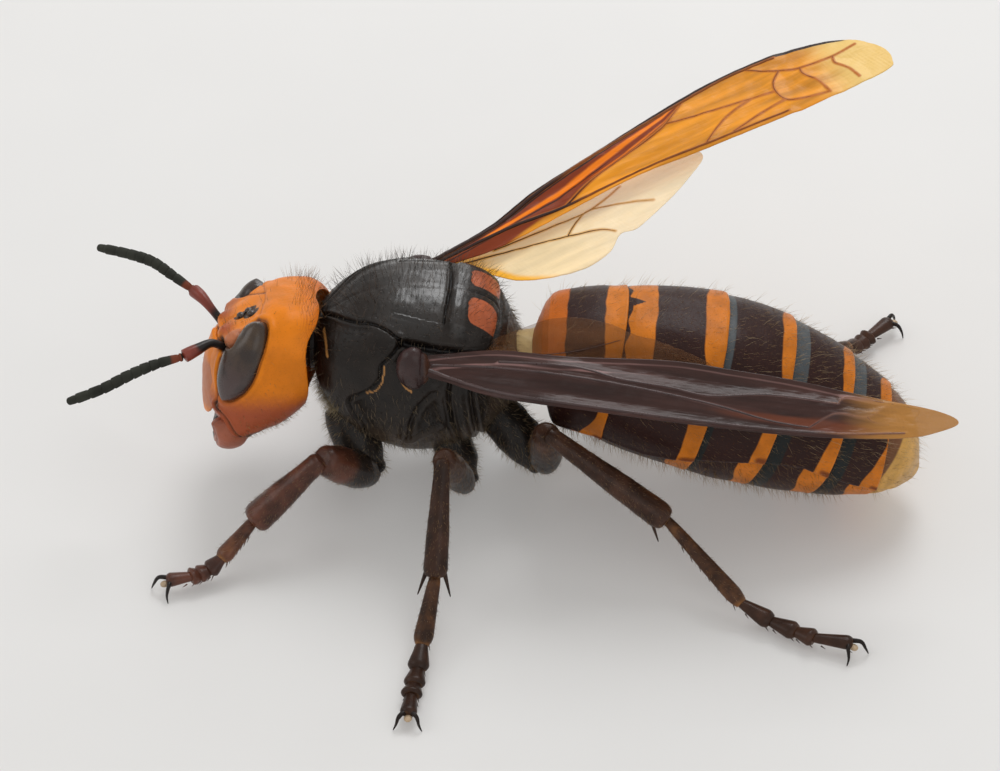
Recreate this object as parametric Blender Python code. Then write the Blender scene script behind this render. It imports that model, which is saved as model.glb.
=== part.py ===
"""An Asian giant hornet at life size, standing still with its right wing raised.

The hornet faces -Y, its left side is at +X, and its feet stand on Z = 0. Sizes are in
millimetres until each finished piece is scaled to metres and placed by one parent empty.
"""

import math

import bmesh
import bpy
from mathutils import Euler, Matrix, Vector
from mathutils.geometry import delaunay_2d_cdt

MM = 0.001
GAP = 0.3
FRAME_SHIFT = (-2.126, -6.26, 0.0)
X, Y, Z = Vector((1, 0, 0)), Vector((0, 1, 0)), Vector((0, 0, 1))

# Colour, roughness of each finish
FINISHES = {
    "orange": ((0.72, 0.27, 0.03), 0.45),
    "eye": ((0.05, 0.03, 0.02), 0.15),
    "red_brown": ((0.30, 0.09, 0.03), 0.4),
    "black": ((0.02, 0.018, 0.017), 0.55),
    "brown": ((0.09, 0.04, 0.02), 0.45),
    "banded": ((0.10, 0.03, 0.015), 0.4),
    "tip": ((0.75, 0.36, 0.06), 0.45),
    "cream": ((0.75, 0.60, 0.28), 0.5),
    "smoky_wing": ((0.12, 0.04, 0.02), 0.3),
    "amber_wing": ((0.60, 0.25, 0.04), 0.3),
}

# Thorax: (y, half width, top height, bottom height) from the collar to the waist
THORAX = (
    (-6.3, 1.9, 12.0, 8.6),
    (-5.9, 2.9, 13.0, 7.8),
    (-5.0, 4.2, 13.8, 6.7),
    (-3.4, 5.0, 15.0, 5.0),
    (-1.4, 5.3, 15.7, 4.0),
    (0.4, 5.35, 15.8, 3.6),
    (2.3, 5.2, 15.7, 4.0),
    (3.6, 4.9, 15.4, 4.6),
    (4.8, 4.3, 14.8, 5.3),
    (5.7, 3.5, 13.5, 6.0),
    (6.4, 2.6, 12.0, 7.0),
    (6.9, 1.5, 10.9, 8.3),
)
THORAX_POWER = 2.4
WIDEST_SHARE = 0.46
COLLAR_TOP = Vector((0.5, -5.8, 13.0))
COLLAR_TOP_NORMAL = Vector((0.75, -0.333, -0.572)).normalized()
COLLAR_SIDE = Vector((0, -1.2, 13.2))
COLLAR_SIDE_NORMAL = Vector((0, -0.794, 0.608)).normalized()
SCUTELLUM_FRONT, SCUTELLUM_BACK, SCUTELLUM_FLOOR = 2.4, 5.2, 12.6
REAR_CUT_TOP, REAR_CUT_FOOT = Vector((0, 3.9, 12.6)), Vector((0, 4.6, 4.0))
# Cap over each wing's root: centre and half sizes
TEGULAE = {
    "left": ((5.0, 0.35, 12.9), (0.9, 1.1, 1.6)),
    "right": ((-5.0, 0.0, 12.5), (0.9, 1.4, 1.1)),
}

# Abdomen: (y, x, z, radius) along its midline, and where each ring ends
ABDOMEN = (
    (8.1, 0.05, 9.6, 3.5),
    (9.0, 0.08, 9.75, 4.35),
    (11.3, 0.18, 9.86, 4.85),
    (14.5, 0.30, 9.5, 5.45),
    (18.0, 0.44, 8.9, 5.85),
    (21.0, 0.55, 8.1, 5.85),
    (23.7, 0.65, 7.15, 5.5),
    (26.3, 0.75, 6.1, 4.95),
    (28.9, 0.85, 4.9, 4.1),
    (30.9, 0.93, 3.7, 3.0),
    (32.2, 0.98, 2.75, 1.6),
)
ABDOMEN_ENDS = (8.1, 13.4, 18.8, 23.3, 27.1, 29.8, 32.0)
ABDOMEN_TIP = Vector((1.0, 32.5, 1.4))
# How far to each side of a place the midline's slope is measured
SLOPE_SPAN = 0.4
# Waist: (y, z, radius), a cone that opens towards the abdomen
WAIST = ((6.1, 10.6, 1.1), (6.7, 10.4, 1.35), (7.3, 10.15, 1.9), (7.8, 9.95, 2.5), (7.95, 9.9, 2.7))

# Head: (z, half width, front, back) in its own frame, where -Y is the face
HEAD = (
    (3.15, 2.0, 0.8, 2.8),
    (2.95, 3.2, 0.0, 3.5),
    (2.3, 4.1, -1.2, 4.1),
    (1.4, 4.6, -2.5, 4.4),
    (0.4, 4.9, -3.4, 4.5),
    (-0.8, 4.95, -3.9, 4.35),
    (-2.2, 4.85, -4.05, 3.8),
    (-3.5, 4.6, -4.1, 2.7),
    (-4.5, 4.2, -4.0, 1.4),
    (-5.2, 3.2, -3.6, 0.3),
)
HEAD_FRONT_POWER, HEAD_BACK_POWER, FACE_SHARE = 2.5, 2.9, 0.5
HEAD_PLACE = Matrix.Translation((-0.1, -9.5, 10.45)) @ Euler(
    (math.radians(-1), math.radians(-20), math.radians(7.6))
).to_matrix().to_4x4()
OCCIPUT_HOLLOW = ((-0.1, -4.9, 10.5), (4.9, 3.0, 4.6))
NECK_FRONT, NECK_BACK, NECK_RADIUS = Vector((0, -8.6, 10.2)), Vector((0, -5.6, 10.3)), 1.5

# Eye: (place along its height, reach forwards, reach backwards), stepped in above its notch
EYE = (
    (-2.65, 0.3, 0.3),
    (-2.2, 0.95, 0.85),
    (-1.3, 1.45, 1.2),
    (-0.4, 1.7, 1.45),
    (0.25, 1.5, 1.55),
    (0.7, 0.85, 1.55),
    (1.4, 0.8, 1.4),
    (2.0, 0.85, 1.1),
    (2.45, 0.65, 0.75),
    (2.8, 0.25, 0.25),
)
EYE_CENTRE, EYE_BULGE, EYE_DEPTH = Vector((3.75, -1.6, -0.1)), 1.15, 0.9
EYE_UP = Vector((-0.08, 0.37, 0.92)).normalized()
EYE_OUT = Vector((0.8, -0.55, 0.25)).normalized()

JAW_ROUTE = ((3.2, -2.2, -4.1), (3.0, -2.4, -5.5), (2.0, -2.9, -6.2), (0.4, -3.4, -6.1))
JAW_SIZES = ((0.75, 1.35), (0.75, 1.2), (0.6, 0.85), (0.25, 0.3))

# Feelers: route of the shaft and of the whip, by side
SCAPES = {
    "left": ((1.0, -12.0, 10.7), (2.2, -12.9, 11.9), (3.1, -13.7, 11.9), (3.7, -14.5, 11.8)),
    "right": ((-1.2, -12.2, 9.8), (-2.0, -13.3, 10.8), (-2.8, -14.1, 11.2), (-3.5, -14.75, 11.2)),
}
WHIPS = {
    "left": (
        (3.7, -14.5, 11.8), (4.2, -16.2, 11.5), (4.9, -17.8, 11.1), (5.5, -19.6, 10.3),
        (6.0, -21.8, 9.5),
    ),
    "right": (
        (-3.5, -14.75, 11.2), (-4.3, -16.2, 11.7), (-5.1, -17.6, 12.1), (-5.9, -19.3, 12.0),
        (-7.0, -21.5, 11.5),
    ),
}
SCAPE_RADIUS, WHIP_RADIUS, WHIP_RINGS = 0.38, 0.36, 11

# Legs: coxa root, trochanter, knee, ankle, ends of the first, fourth and fifth tarsal joint,
# and which way the claws point
LEGS = {
    "front_left": (
        (2.6, -4.6, 7.3), (4.8, -2.4, 3.3), (7.5, -5.4, 7.0), (9.6, -9.7, 3.2),
        (11.6, -11.5, 1.8), (12.7, -13.3, 1.1), (13.05, -14.8, 1.0), (0.68, -0.73, 0),
    ),
    "mid_left": (
        (2.6, 2.2, 6.0), (5.3, 3.7, 3.2), (9.0, 2.5, 9.0), (13.9, 2.35, 3.2),
        (17.9, 1.85, 1.3), (21.8, 1.5, 0.75), (23.5, 1.45, 0.85), (1, 0.0, 0),
    ),
    "hind_left": (
        (2.1, 5.1, 7.4), (3.8, 8.7, 3.9), (6.7, 8.9, 9.5), (9.1, 16.8, 4.6),
        (12.95, 21.7, 1.4), (15.2, 26.3, 0.85), (15.6, 28.7, 0.95), (0.75, 0.66, 0),
    ),
    "front_right": (
        (-2.6, -4.6, 7.3), (-4.8, -2.4, 3.3), (-9.0, -3.4, 6.4), (-10.8, -6.6, 2.6),
        (-12.6, -8.1, 1.6), (-13.7, -9.6, 1.0), (-14.4, -10.9, 1.0), (-0.5, -0.87, 0),
    ),
    "mid_right": (
        (-2.6, 2.2, 6.0), (-5.3, 3.7, 3.2), (-9.3, 2.6, 7.2), (-12.4, 1.6, 1.9),
        (-15.3, 0.9, 1.1), (-17.3, -0.5, 0.75), (-18.2, -1.7, 0.85), (-0.6, -0.8, 0),
    ),
    "hind_right": (
        (-2.1, 5.1, 7.4), (-3.8, 8.7, 3.9), (-7.6, 15.4, 6.2), (-7.2, 24.0, 2.8),
        (-12.0, 28.2, 1.5), (-13.7, 29.6, 0.9), (-15.3, 31.0, 0.95), (-0.35, 0.94, 0),
    ),
}
LEG_RADII = {
    "front": (1.5, 1.2, 1.12, 0.6),
    "mid": (1.3, 0.95, 0.8, 0.62),
    "hind": (1.45, 1.05, 0.98, 0.6),
}
# Spikes at the ankle: how far each tip lies ahead, to the side and down
SPURS = {
    "front": (),
    "mid": ((1.0, 1.05, -0.2), (1.0, -1.05, -0.2)),
    "hind": ((-0.35, 0.75, -1.5), (-0.35, -0.75, -1.5)),
}
SPUR_RADIUS, FOOT_SAG = 0.26, 0.35
COXA_SHAPE = ((0.0, 0.75), (0.25, 1.0), (0.6, 1.0), (0.82, 0.72), (0.95, 0.72), (1.0, 0.45))
FEMUR_SHAPE = ((0.0, 0.4), (0.05, 0.65), (0.3, 1.0), (0.65, 1.0), (0.94, 0.78), (1.0, 0.45))
TIBIA_SHAPE = ((0.0, 0.4), (0.05, 0.65), (0.2, 0.66), (0.6, 0.9), (0.93, 1.0), (1.0, 0.6))
FOOT_SHAPE = ((0.0, 0.5), (0.15, 0.68), (0.85, 1.05), (1.0, 0.6))
LOBE_SHAPE = ((0.0, 0.45), (0.2, 0.65), (0.8, 1.15), (1.0, 0.8))
LAST_JOINT_SHAPE = ((0.0, 0.45), (0.2, 0.6), (0.85, 0.9), (1.0, 0.5))
CLAW_SPREAD, CLAW_REACH, CLAW_RADIUS = 0.9, 0.75, 0.26

# Wings: root, direction of the blade and of its width, and outlines as (along, across).
# The left blade arches off the body along OFF_BODY.
WING_PLACES = {
    "left": ((5.0, 2.2, 14.6), (0.049, 0.996, -0.074), (0.882, -0.078, -0.465)),
    "right": ((-4.8, 1.6, 13.9), (-0.402, 0.885, 0.235), (0.897, 0.432, -0.094)),
}
OFF_BODY = Vector((0.742, 0.052, 0.669))
WING_ARCHES = {"left": (-1.3, 1.1), "right": (0.0, 0.0)}
ARCH_LENGTH, HINDWING_EDGE, HINDWING_TILT = 8.0, -0.8, 0.5
FOREWINGS = {
    "left": (
        (-1.4, 0.7), (0.0, 0.3), (3.5, -0.5), (7.7, -0.7), (14.1, -1.3), (18.4, -1.25), (22.7, -1.1),
        (28.0, -0.6), (31.3, -0.35), (32.6, 0.2), (31.4, 1.0), (29.4, 1.7), (25.2, 2.3), (21.0, 2.6),
        (14.6, 2.75), (10.3, 2.75), (3.9, 2.7), (0.6, 2.1), (-1.4, 1.7),
    ),
    "right": (
        (-1.5, -0.4), (0.1, -0.5), (3.6, -1.0), (7.3, -2.1), (10.8, -2.9), (14.4, -3.7), (17.9, -4.3),
        (21.3, -4.7), (25.5, -4.7), (28.7, -4.1), (30.6, -3.2), (32.0, -1.7), (32.2, -0.3), (31.2, 0.4),
        (25.5, 0.6), (17.9, 0.35), (12.8, 0.25), (8.3, 0.6), (3.9, 0.9), (0.1, 0.7), (-1.5, 0.6),
    ),
}
HINDWINGS = {
    "left": (
        (-0.6, 0.8), (2.0, -0.6), (5.6, -2.6), (6.7, -3.1), (8.4, -3.4), (10.3, -3.2), (11.9, -2.7),
        (13.4, -2.5), (16.6, -1.6), (17.4, -0.2), (12.0, 0.6), (5.0, 1.2), (-0.6, 1.6),
    ),
    "right": (
        (-1.0, 0.5), (3.0, 0.0), (10.0, -0.5), (16.0, -0.4), (17.8, 0.0), (18.0, 1.0), (16.1, 2.3),
        (13.4, 3.6), (11.9, 4.2), (10.8, 4.1), (9.6, 5.1), (7.7, 5.5), (5.4, 5.1), (3.6, 4.2),
        (2.1, 2.9), (0.6, 1.7), (-1.0, 1.2),
    ),
}
FOREWING_VEINS = {
    "left": (
        ((-1.0, 1.4), (3.9, 2.35), (10.3, 2.45), (14.6, 2.45), (21.0, 2.3), (25.2, 2.0), (29.4, 1.4)),
        ((-0.6, 1.15), (3.6, 0.75), (7.8, 0.65), (12.1, 0.8), (17.0, 1.2), (20.9, 1.75), (23.4, 1.85)),
        ((3.6, 0.35), (8.3, 0.0), (11.3, 0.4), (14.4, 0.5), (17.0, 0.7), (20.9, 0.05), (25.0, 0.05)),
        ((23.4, 1.85), (24.4, 1.05), (25.2, 0.7), (26.9, 0.7), (28.2, -0.4)),
        ((25.0, 0.05), (25.6, -0.5), (28.2, -0.4), (30.0, -0.25), (29.8, 0.4)),
        ((26.9, 0.7), (27.6, 1.0), (30.0, 1.0)),
    ),
    "right": (
        ((-1.1, -0.1), (3.6, -0.7), (7.3, -1.8), (14.4, -3.4), (21.3, -4.4), (25.5, -4.4)),
        ((-1.1, 0.3), (4.5, 0.0), (8.5, 0.1), (12.8, -0.05), (17.9, 0.05), (24.5, 0.3)),
        ((8.5, 0.1), (11.1, -1.0), (15.6, -2.4), (17.0, -2.9), (18.6, -4.0)),
        ((17.0, -2.9), (20.3, -2.3), (24.4, -1.7)),
        ((18.6, 0.05), (20.6, -1.3), (22.6, -1.9)),
        ((20.6, 0.05), (22.9, -0.45), (24.7, -0.7)),
        ((23.4, -4.4), (24.4, -3.7), (25.3, -3.2), (26.6, -2.7), (28.9, -2.5), (30.6, -2.7)),
        ((25.3, -3.2), (24.6, -2.5), (24.4, -1.7), (24.7, -0.7), (25.7, -0.2), (27.5, 0.2)),
        ((26.6, -2.7), (26.6, -2.1), (27.2, -1.1), (27.5, 0.2)),
        ((28.9, -2.5), (28.8, -1.9), (29.4, -1.0), (29.7, 0.0)),
    ),
}
HINDWING_VEINS = {
    "left": (
        ((-0.2, 1.1), (4.0, 0.0), (8.0, -1.0), (11.0, -2.2)),
        ((5.9, -0.45), (10.0, -0.3), (14.0, -0.8)),
    ),
    "right": (
        ((-0.6, 0.9), (3.0, 1.5), (7.7, 2.6), (9.8, 3.1), (10.6, 3.7)),
        ((7.7, 2.6), (8.7, 1.7), (9.8, 1.2), (12.0, 1.9), (13.8, 2.6)),
        ((3.0, 1.1), (6.9, 1.2), (9.8, 1.2), (12.3, 0.4)),
    ),
}
WING_THICKNESS, VEIN_HEIGHT, VEIN_REACH = 0.5, 0.2, 0.38
WING_STEP, RIM_STEP = 1.9, 1.0
HINDWING_DROP = (WING_THICKNESS + 2 * VEIN_HEIGHT + GAP) * 1.15


def smooth_row(rows, place):
    """The row at a place from 0 to 1 along rows, on a smooth curve through them."""
    last = len(rows) - 1
    at = min(max(place, 0.0), 1.0) * last
    index = min(int(at), last - 1)
    t = at - index
    picked = [rows[min(max(index + step, 0), last)] for step in (-1, 0, 1, 2)]
    return [
        0.5 * (2 * b + (c - a) * t + (2 * a - 5 * b + 4 * c - d) * t**2 + (3 * (b - c) + d - a) * t**3)
        for a, b, c, d in zip(*picked)
    ]


def smooth_rows(rows, steps):
    return [smooth_row(rows, step / steps) for step in range(steps + 1)]


def row_at(rows, first_value):
    """The row whose first number has this value, for rows that are in order of it."""
    low, high = 0.0, 1.0
    for _ in range(30):
        middle = (low + high) / 2
        if smooth_row(rows, middle)[0] < first_value:
            low = middle
        else:
            high = middle
    return smooth_row(rows, low)


def section(centre, side, up, width, high, low=None, power=2.0, low_power=None):
    """One cross-section of a form: half width, and reach to both sides of its width."""
    low = high if low is None else low
    return Vector(centre), side, up, width, high, low, power, low_power or power


def on_section(one, angle):
    centre, side, up, width, high, low, power, low_power = one
    across, along = math.cos(angle), math.sin(angle)
    bend = 2 / (power if along > 0 else low_power)
    reach = high if along > 0 else low
    return (
        centre
        + side * math.copysign(abs(across) ** bend, across) * width
        + up * math.copysign(abs(along) ** bend, along) * reach
    )


def facing_out(bm):
    bmesh.ops.recalc_face_normals(bm, faces=bm.faces)
    if bm.calc_volume(signed=True) < 0:
        bmesh.ops.reverse_faces(bm, faces=bm.faces)
    return bm


def mould(sections, around):
    """A sphere whose rows of points take the places of the sections, closed at both ends."""
    first, last = sections[0], sections[-1]
    ends = [section(one[0], X, Y, 0, 0) for one in (first, last)]
    rows = [ends[0], *sections, ends[1]]
    bm = bmesh.new()
    bmesh.ops.create_uvsphere(bm, u_segments=around, v_segments=len(rows) - 1, radius=1)
    for vert in bm.verts:
        row = round(math.acos(max(-1.0, min(1.0, vert.co.z))) / math.pi * (len(rows) - 1))
        angle = math.atan2(vert.co.y, vert.co.x)
        vert.co = on_section(rows[row], angle)
    return facing_out(bm)


def along_route(route, sizes, reference=Z, grow=0.0):
    """Sections square to a route of points, each with its half width and half height."""
    route = [Vector(point) for point in route]
    if grow:
        route[0] = route[0] + (route[0] - route[1]).normalized() * grow
        route[-1] = route[-1] + (route[-1] - route[-2]).normalized() * grow
    found = []
    for index, point in enumerate(route):
        forward = (route[min(index + 1, len(route) - 1)] - route[max(index - 1, 0)]).normalized()
        side = forward.cross(reference).normalized()
        up = side.cross(forward)
        width, height = sizes[index]
        found.append(section(point, side, up, width + grow, height + grow))
    return found


def limb(start, end, radius, shape, around, grow=0.0, flat=1.0):
    """A straight stretch of a leg, whose thickness follows shape."""
    start, end = Vector(start), Vector(end)
    route = [start.lerp(end, place) for place, _ in shape]
    sizes = [(radius * share, radius * share * flat) for _, share in shape]
    reference = Z if abs((end - start).normalized().z) < 0.95 else Y
    return mould(along_route(route, sizes, reference, grow), around)


def ball(centre, sizes, around=16, rows=10):
    bm = bmesh.new()
    bmesh.ops.create_uvsphere(bm, u_segments=around, v_segments=rows, radius=1)
    bmesh.ops.scale(bm, vec=sizes, verts=bm.verts)
    bmesh.ops.translate(bm, vec=centre, verts=bm.verts)
    return bm


def block(low, high):
    bm = bmesh.new()
    bmesh.ops.create_cube(bm, size=1)
    low, high = Vector(low), Vector(high)
    bmesh.ops.scale(bm, vec=high - low, verts=bm.verts)
    bmesh.ops.translate(bm, vec=(low + high) / 2, verts=bm.verts)
    return bm


def placed(bm, matrix):
    bmesh.ops.transform(bm, matrix=matrix, verts=bm.verts)
    if matrix.determinant() < 0:
        bmesh.ops.reverse_faces(bm, faces=bm.faces)
    return bm


def halved(bm, point, normal):
    """What lies on the side that the normal points away from, closed along the cut."""
    geometry = [*bm.verts, *bm.edges, *bm.faces]
    cut = bmesh.ops.bisect_plane(
        bm, geom=geometry, dist=1e-5, plane_co=point, plane_no=normal, clear_outer=True
    )
    edges = [item for item in cut["geom_cut"] if isinstance(item, bmesh.types.BMEdge)]
    bmesh.ops.contextual_create(bm, geom=edges)
    return facing_out(bm)


def keep_largest(bm):
    """Drops every closed surface but the one with the most room inside."""
    left, pieces = set(bm.faces), []
    while left:
        waiting, piece = [left.pop()], set()
        while waiting:
            face = waiting.pop()
            piece.add(face)
            for edge in face.edges:
                for other in edge.link_faces:
                    if other in left:
                        left.remove(other)
                        waiting.append(other)
        pieces.append(piece)

    def room(piece):
        total = 0.0
        for face in piece:
            first = face.verts[0].co
            for one, two in zip(face.verts[1:], face.verts[2:]):
                total += first.dot(one.co.cross(two.co))
        return abs(total)

    pieces.sort(key=room)
    spare = [face for piece in pieces[:-1] for face in piece]
    bmesh.ops.delete(bm, geom=spare, context="FACES")


def as_object(name, bm):
    mesh = bpy.data.meshes.new(name)
    bm.to_mesh(mesh)
    bm.free()
    obj = bpy.data.objects.new(name, mesh)
    bpy.context.scene.collection.objects.link(obj)
    return obj


def combined(bm, others, operation, solver="EXACT"):
    """One bmesh joined with others, or cut by them, in a single Boolean."""
    target = as_object("worked", bm)
    tools = bpy.data.collections.new("tools")
    helpers = [as_object("tool", other) for other in others]
    for helper in helpers:
        tools.objects.link(helper)
    modifier = target.modifiers.new(operation, "BOOLEAN")
    modifier.operation = operation
    modifier.operand_type = "COLLECTION"
    modifier.collection = tools
    modifier.solver = solver
    bpy.context.view_layer.update()
    result = bmesh.new()
    result.from_object(target, bpy.context.evaluated_depsgraph_get())
    for obj in (target, *helpers):
        mesh = obj.data
        bpy.data.objects.remove(obj)
        bpy.data.meshes.remove(mesh)
    bpy.data.collections.remove(tools)
    bmesh.ops.remove_doubles(result, verts=result.verts, dist=1e-4)
    keep_largest(result)
    return result


def cut(bm, *others):
    return combined(bm, others, "DIFFERENCE")


def joined(bm, *others):
    return combined(bm, others, "UNION")


def material_named(finish):
    material = bpy.data.materials.new(finish)
    material.use_nodes = True
    colour, roughness = FINISHES[finish]
    shader = material.node_tree.nodes["Principled BSDF"]
    shader.inputs["Base Color"].default_value = (*colour, 1)
    shader.inputs["Roughness"].default_value = roughness
    return material


def finished(name, bm, finish, parent):
    """The piece as an object in metres, with a material of its own."""
    bmesh.ops.scale(bm, vec=(MM, MM, MM), verts=bm.verts)
    obj = as_object(name, bm)
    obj.data.shade_smooth()
    obj.data.set_sharp_from_angle(angle=math.radians(40))
    obj.data.materials.append(material_named(finish))
    obj.parent = parent
    return obj


def thorax(grow=0.0):
    sections = []
    for y, width, top, bottom in smooth_rows(THORAX, 15):
        widest = bottom + (top - bottom) * WIDEST_SHARE
        reaches = (top - widest + grow, widest - bottom + grow)
        sections.append(section((0, y, widest), X, Z, width + grow, *reaches, THORAX_POWER))
    if grow:
        sections[0][0].y -= grow
        sections[-1][0].y += grow
    return mould(sections, 28)


def behind_collar(grow=0.0):
    """The wedge of back between the collar's arms, and the flanks below them."""
    back = block((-9, -9, 0), (9, 9, 20))
    for side in (1, -1):
        turned = Vector((side, 1, 1))
        normal = COLLAR_TOP_NORMAL * turned
        halved(back, COLLAR_TOP * turned + normal * grow, normal)
    flanks = block((-9, -9, 0), (9, 9, 20))
    halved(flanks, COLLAR_SIDE + COLLAR_SIDE_NORMAL * grow, COLLAR_SIDE_NORMAL)
    return joined(back, flanks)


def scutellum_block(grow=0.0):
    low = Vector((-9, SCUTELLUM_FRONT, SCUTELLUM_FLOOR)) - Vector((grow, grow, grow))
    return block(low, (9, SCUTELLUM_BACK + grow, 20))


def abdomen_axis(y):
    """The centre, the direction and the radius of the abdomen where its midline passes y."""
    def midline(at):
        row = row_at(ABDOMEN, min(max(at, ABDOMEN[0][0]), ABDOMEN[-1][0]))
        return Vector((row[1], row[0], row[2])), row[3]

    centre, radius = midline(y)
    forward = midline(y + SLOPE_SPAN)[0] - midline(y - SLOPE_SPAN)[0]
    return centre, forward.normalized(), radius


def abdomen_ring(number, grow=0.0):
    """One of the abdomen's six rings; each is a little wider at its rear edge."""
    start, end = ABDOMEN_ENDS[number - 1] + GAP / 2 - grow, ABDOMEN_ENDS[number] - GAP / 2
    steps = 4
    sections = []
    for step in range(steps + 1):
        place = step / steps
        centre, forward, radius = abdomen_axis(start + (end - start) * place)
        up = X.cross(forward)
        radius = radius * (0.985 + 0.025 * place) + grow
        sections.append(section(centre, X, up, radius * 1.01, radius * 0.985, power=2.1))
    if number == len(ABDOMEN_ENDS) - 1:
        tip = section(ABDOMEN_TIP, X, up, 0.55, 0.45)
        middle = sections[-1][0].lerp(ABDOMEN_TIP, 0.5)
        sections[-1:] = [section(middle, X, up, 1.15, 0.95), tip]
    return mould(sections, 24)


def head(grow=0.0):
    sections = []
    for z, width, front, back in smooth_rows(HEAD, 13):
        widest = front + (back - front) * FACE_SHARE
        sections.append(
            section((0, widest, z), X, -Y, width + grow, widest - front + grow,
                    back - widest + grow, HEAD_FRONT_POWER, HEAD_BACK_POWER)
        )
    return placed(mould(sections, 26), HEAD_PLACE)


def eye(side, grow=0.0):
    """A domed kidney on the side of the face; side is 1 for the left and -1 for the right."""
    back = EYE_OUT.cross(EYE_UP).normalized()
    if back.y < 0:
        back.negate()
    sections = []
    for height, front, rear in smooth_rows(EYE, 9):
        swell = math.sqrt(max(0.05, 1 - (height / 3.1) ** 2))
        centre = EYE_CENTRE + EYE_UP * (height * (1 + grow / 3)) + back * (rear - front) / 2
        sections.append(
            section(centre, back, EYE_OUT, (rear + front) / 2 + grow,
                    EYE_BULGE * swell + grow, EYE_DEPTH * swell + grow)
        )
    return placed(mould(sections, 16), HEAD_PLACE @ Matrix.Diagonal((side, 1, 1, 1)))


def jaw(side, grow=0.0):
    sections = along_route(smooth_rows(JAW_ROUTE, 6), smooth_rows(JAW_SIZES, 6), Y, grow)
    return placed(mould(sections, 10), HEAD_PLACE @ Matrix.Diagonal((side, 1, 1, 1)))


def scape(side, grow=0.0):
    route = smooth_rows(SCAPES[side], 7)
    sizes = [(SCAPE_RADIUS * (0.75 + 0.5 * step / 7),) * 2 for step in range(8)]
    return mould(along_route(route, sizes, Z, grow), 8)


def whip(side):
    """The feeler's whip, waisted between its short joints."""
    route, sizes = [], []
    for joint in range(WHIP_RINGS):
        for inside, share in ((0.12, 0.86), (0.88, 1.05)):
            place = (joint + inside) / WHIP_RINGS
            route.append(smooth_row(WHIPS[side], place))
            sizes.append((WHIP_RADIUS * share * (1 - 0.18 * place),) * 2)
    return mould(along_route(route, sizes), 8)


def claw(root, ahead, across, side):
    """A curved hook from the end of a foot out, forwards and down to the floor."""
    out = across * side
    start = root - ahead * 0.25
    peak = root + ahead * CLAW_REACH * 0.45 + out * CLAW_SPREAD * 0.7 + Z * 0.1
    tip = root + ahead * CLAW_REACH + out * CLAW_SPREAD
    tip.z = -0.08
    route = smooth_rows((start, peak, (peak + tip) / 2 + ahead * 0.1, tip), 5)
    sizes = [(CLAW_RADIUS * (1 - 0.09 * step),) * 2 for step in range(6)]
    return mould(along_route(route, sizes, ahead), 6)


def spur(knee, ankle, reach, grow=0.0):
    """One of the spikes beside the ankle."""
    forward = (ankle - knee).normalized()
    across = forward.cross(Z).normalized()
    ahead, aside, below = reach
    root = ankle + forward * (ahead / 2 - 1.2) + across * aside * 0.45
    tip = ankle + forward * ahead + across * aside + Z * below
    sizes = [(SPUR_RADIUS * share,) * 2 for share in (1, 0.9, 0.4)]
    return mould(along_route((root, root.lerp(tip, 0.5), tip), sizes, forward, grow), 6)


def leg(name, parent, body):
    """Coxa, femur, tibia and foot, each hollowed to take the end of the one before it."""
    coxa_root, trochanter, knee, ankle, first, fourth, fifth, ahead = map(Vector, LEGS[name])
    pair = name.split("_")[0]
    coxa_radius, femur_radius, tibia_radius, foot_radius = LEG_RADII[pair]

    def coxa(grow=0.0):
        return limb(coxa_root, trochanter, coxa_radius, COXA_SHAPE, 12, grow)

    def femur(grow=0.0):
        return limb(trochanter, knee, femur_radius, FEMUR_SHAPE, 12, grow)

    def tibia(grow=0.0):
        return limb(knee, ankle, tibia_radius, TIBIA_SHAPE, 12, grow, 0.85)

    floor = block((-60, -60, -5), (60, 60, 0))
    joints = [ankle, first, first.lerp(fourth, 0.4), first.lerp(fourth, 0.75), fourth, fifth]
    joints[2].z -= FOOT_SAG
    joints[3].z -= FOOT_SAG * 0.6
    shapes = (FOOT_SHAPE, LOBE_SHAPE, LOBE_SHAPE, LOBE_SHAPE, LAST_JOINT_SHAPE)
    pieces = []
    for start, end, shape in zip(joints, joints[1:], shapes):
        reach = (end - start).normalized() * 0.16
        pieces.append(limb(start - reach, end + reach, foot_radius, shape, 8, flat=0.8))
    ahead.normalize()
    across = ahead.cross(Z)
    pieces += [claw(fifth, ahead, across, side) for side in (1, -1)]
    foot = joined(pieces[0], *pieces[1:])

    spurs = [spur(knee, ankle, reach) for reach in SPURS[pair]]
    spur_room = [spur(knee, ankle, reach, GAP) for reach in SPURS[pair]]
    made = {
        "coxa": cut(coxa(), body(GAP)),
        "femur": cut(femur(), coxa(GAP), body(GAP)),
        "tibia": cut(joined(tibia(), *spurs), femur(GAP)),
        "tarsus": cut(foot, tibia(GAP), floor, *spur_room),
    }
    for part, bm in made.items():
        finished(f"{part}_{name}", bm, "black" if part == "coxa" else "brown", parent)


def outline_points(outline):
    """The outline's points at even steps along a smooth closed curve."""
    rows = [*outline, outline[0]]
    fine = [Vector(smooth_row(rows, step / 400)) for step in range(400)]
    points, walked = [fine[0]], 0.0
    for before, after in zip(fine, fine[1:]):
        walked += (after - before).length
        if walked >= RIM_STEP:
            points.append(after)
            walked = 0.0
    if (points[-1] - fine[0]).length < RIM_STEP * 0.5:
        points.pop()
    return points


def vein_points(vein):
    length = sum((Vector(b) - Vector(a)).length for a, b in zip(vein, vein[1:]))
    return [Vector(row) for row in smooth_rows(vein, max(2, round(length / WING_STEP)))]


def distance_to_veins(point, veins):
    nearest = 99.0
    for vein in veins:
        for a, b in zip(vein, vein[1:]):
            run = b - a
            share = min(max((point - a).dot(run) / max(run.length_squared, 1e-9), 0), 1)
            nearest = min(nearest, (point - a - run * share).length)
    return nearest


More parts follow.
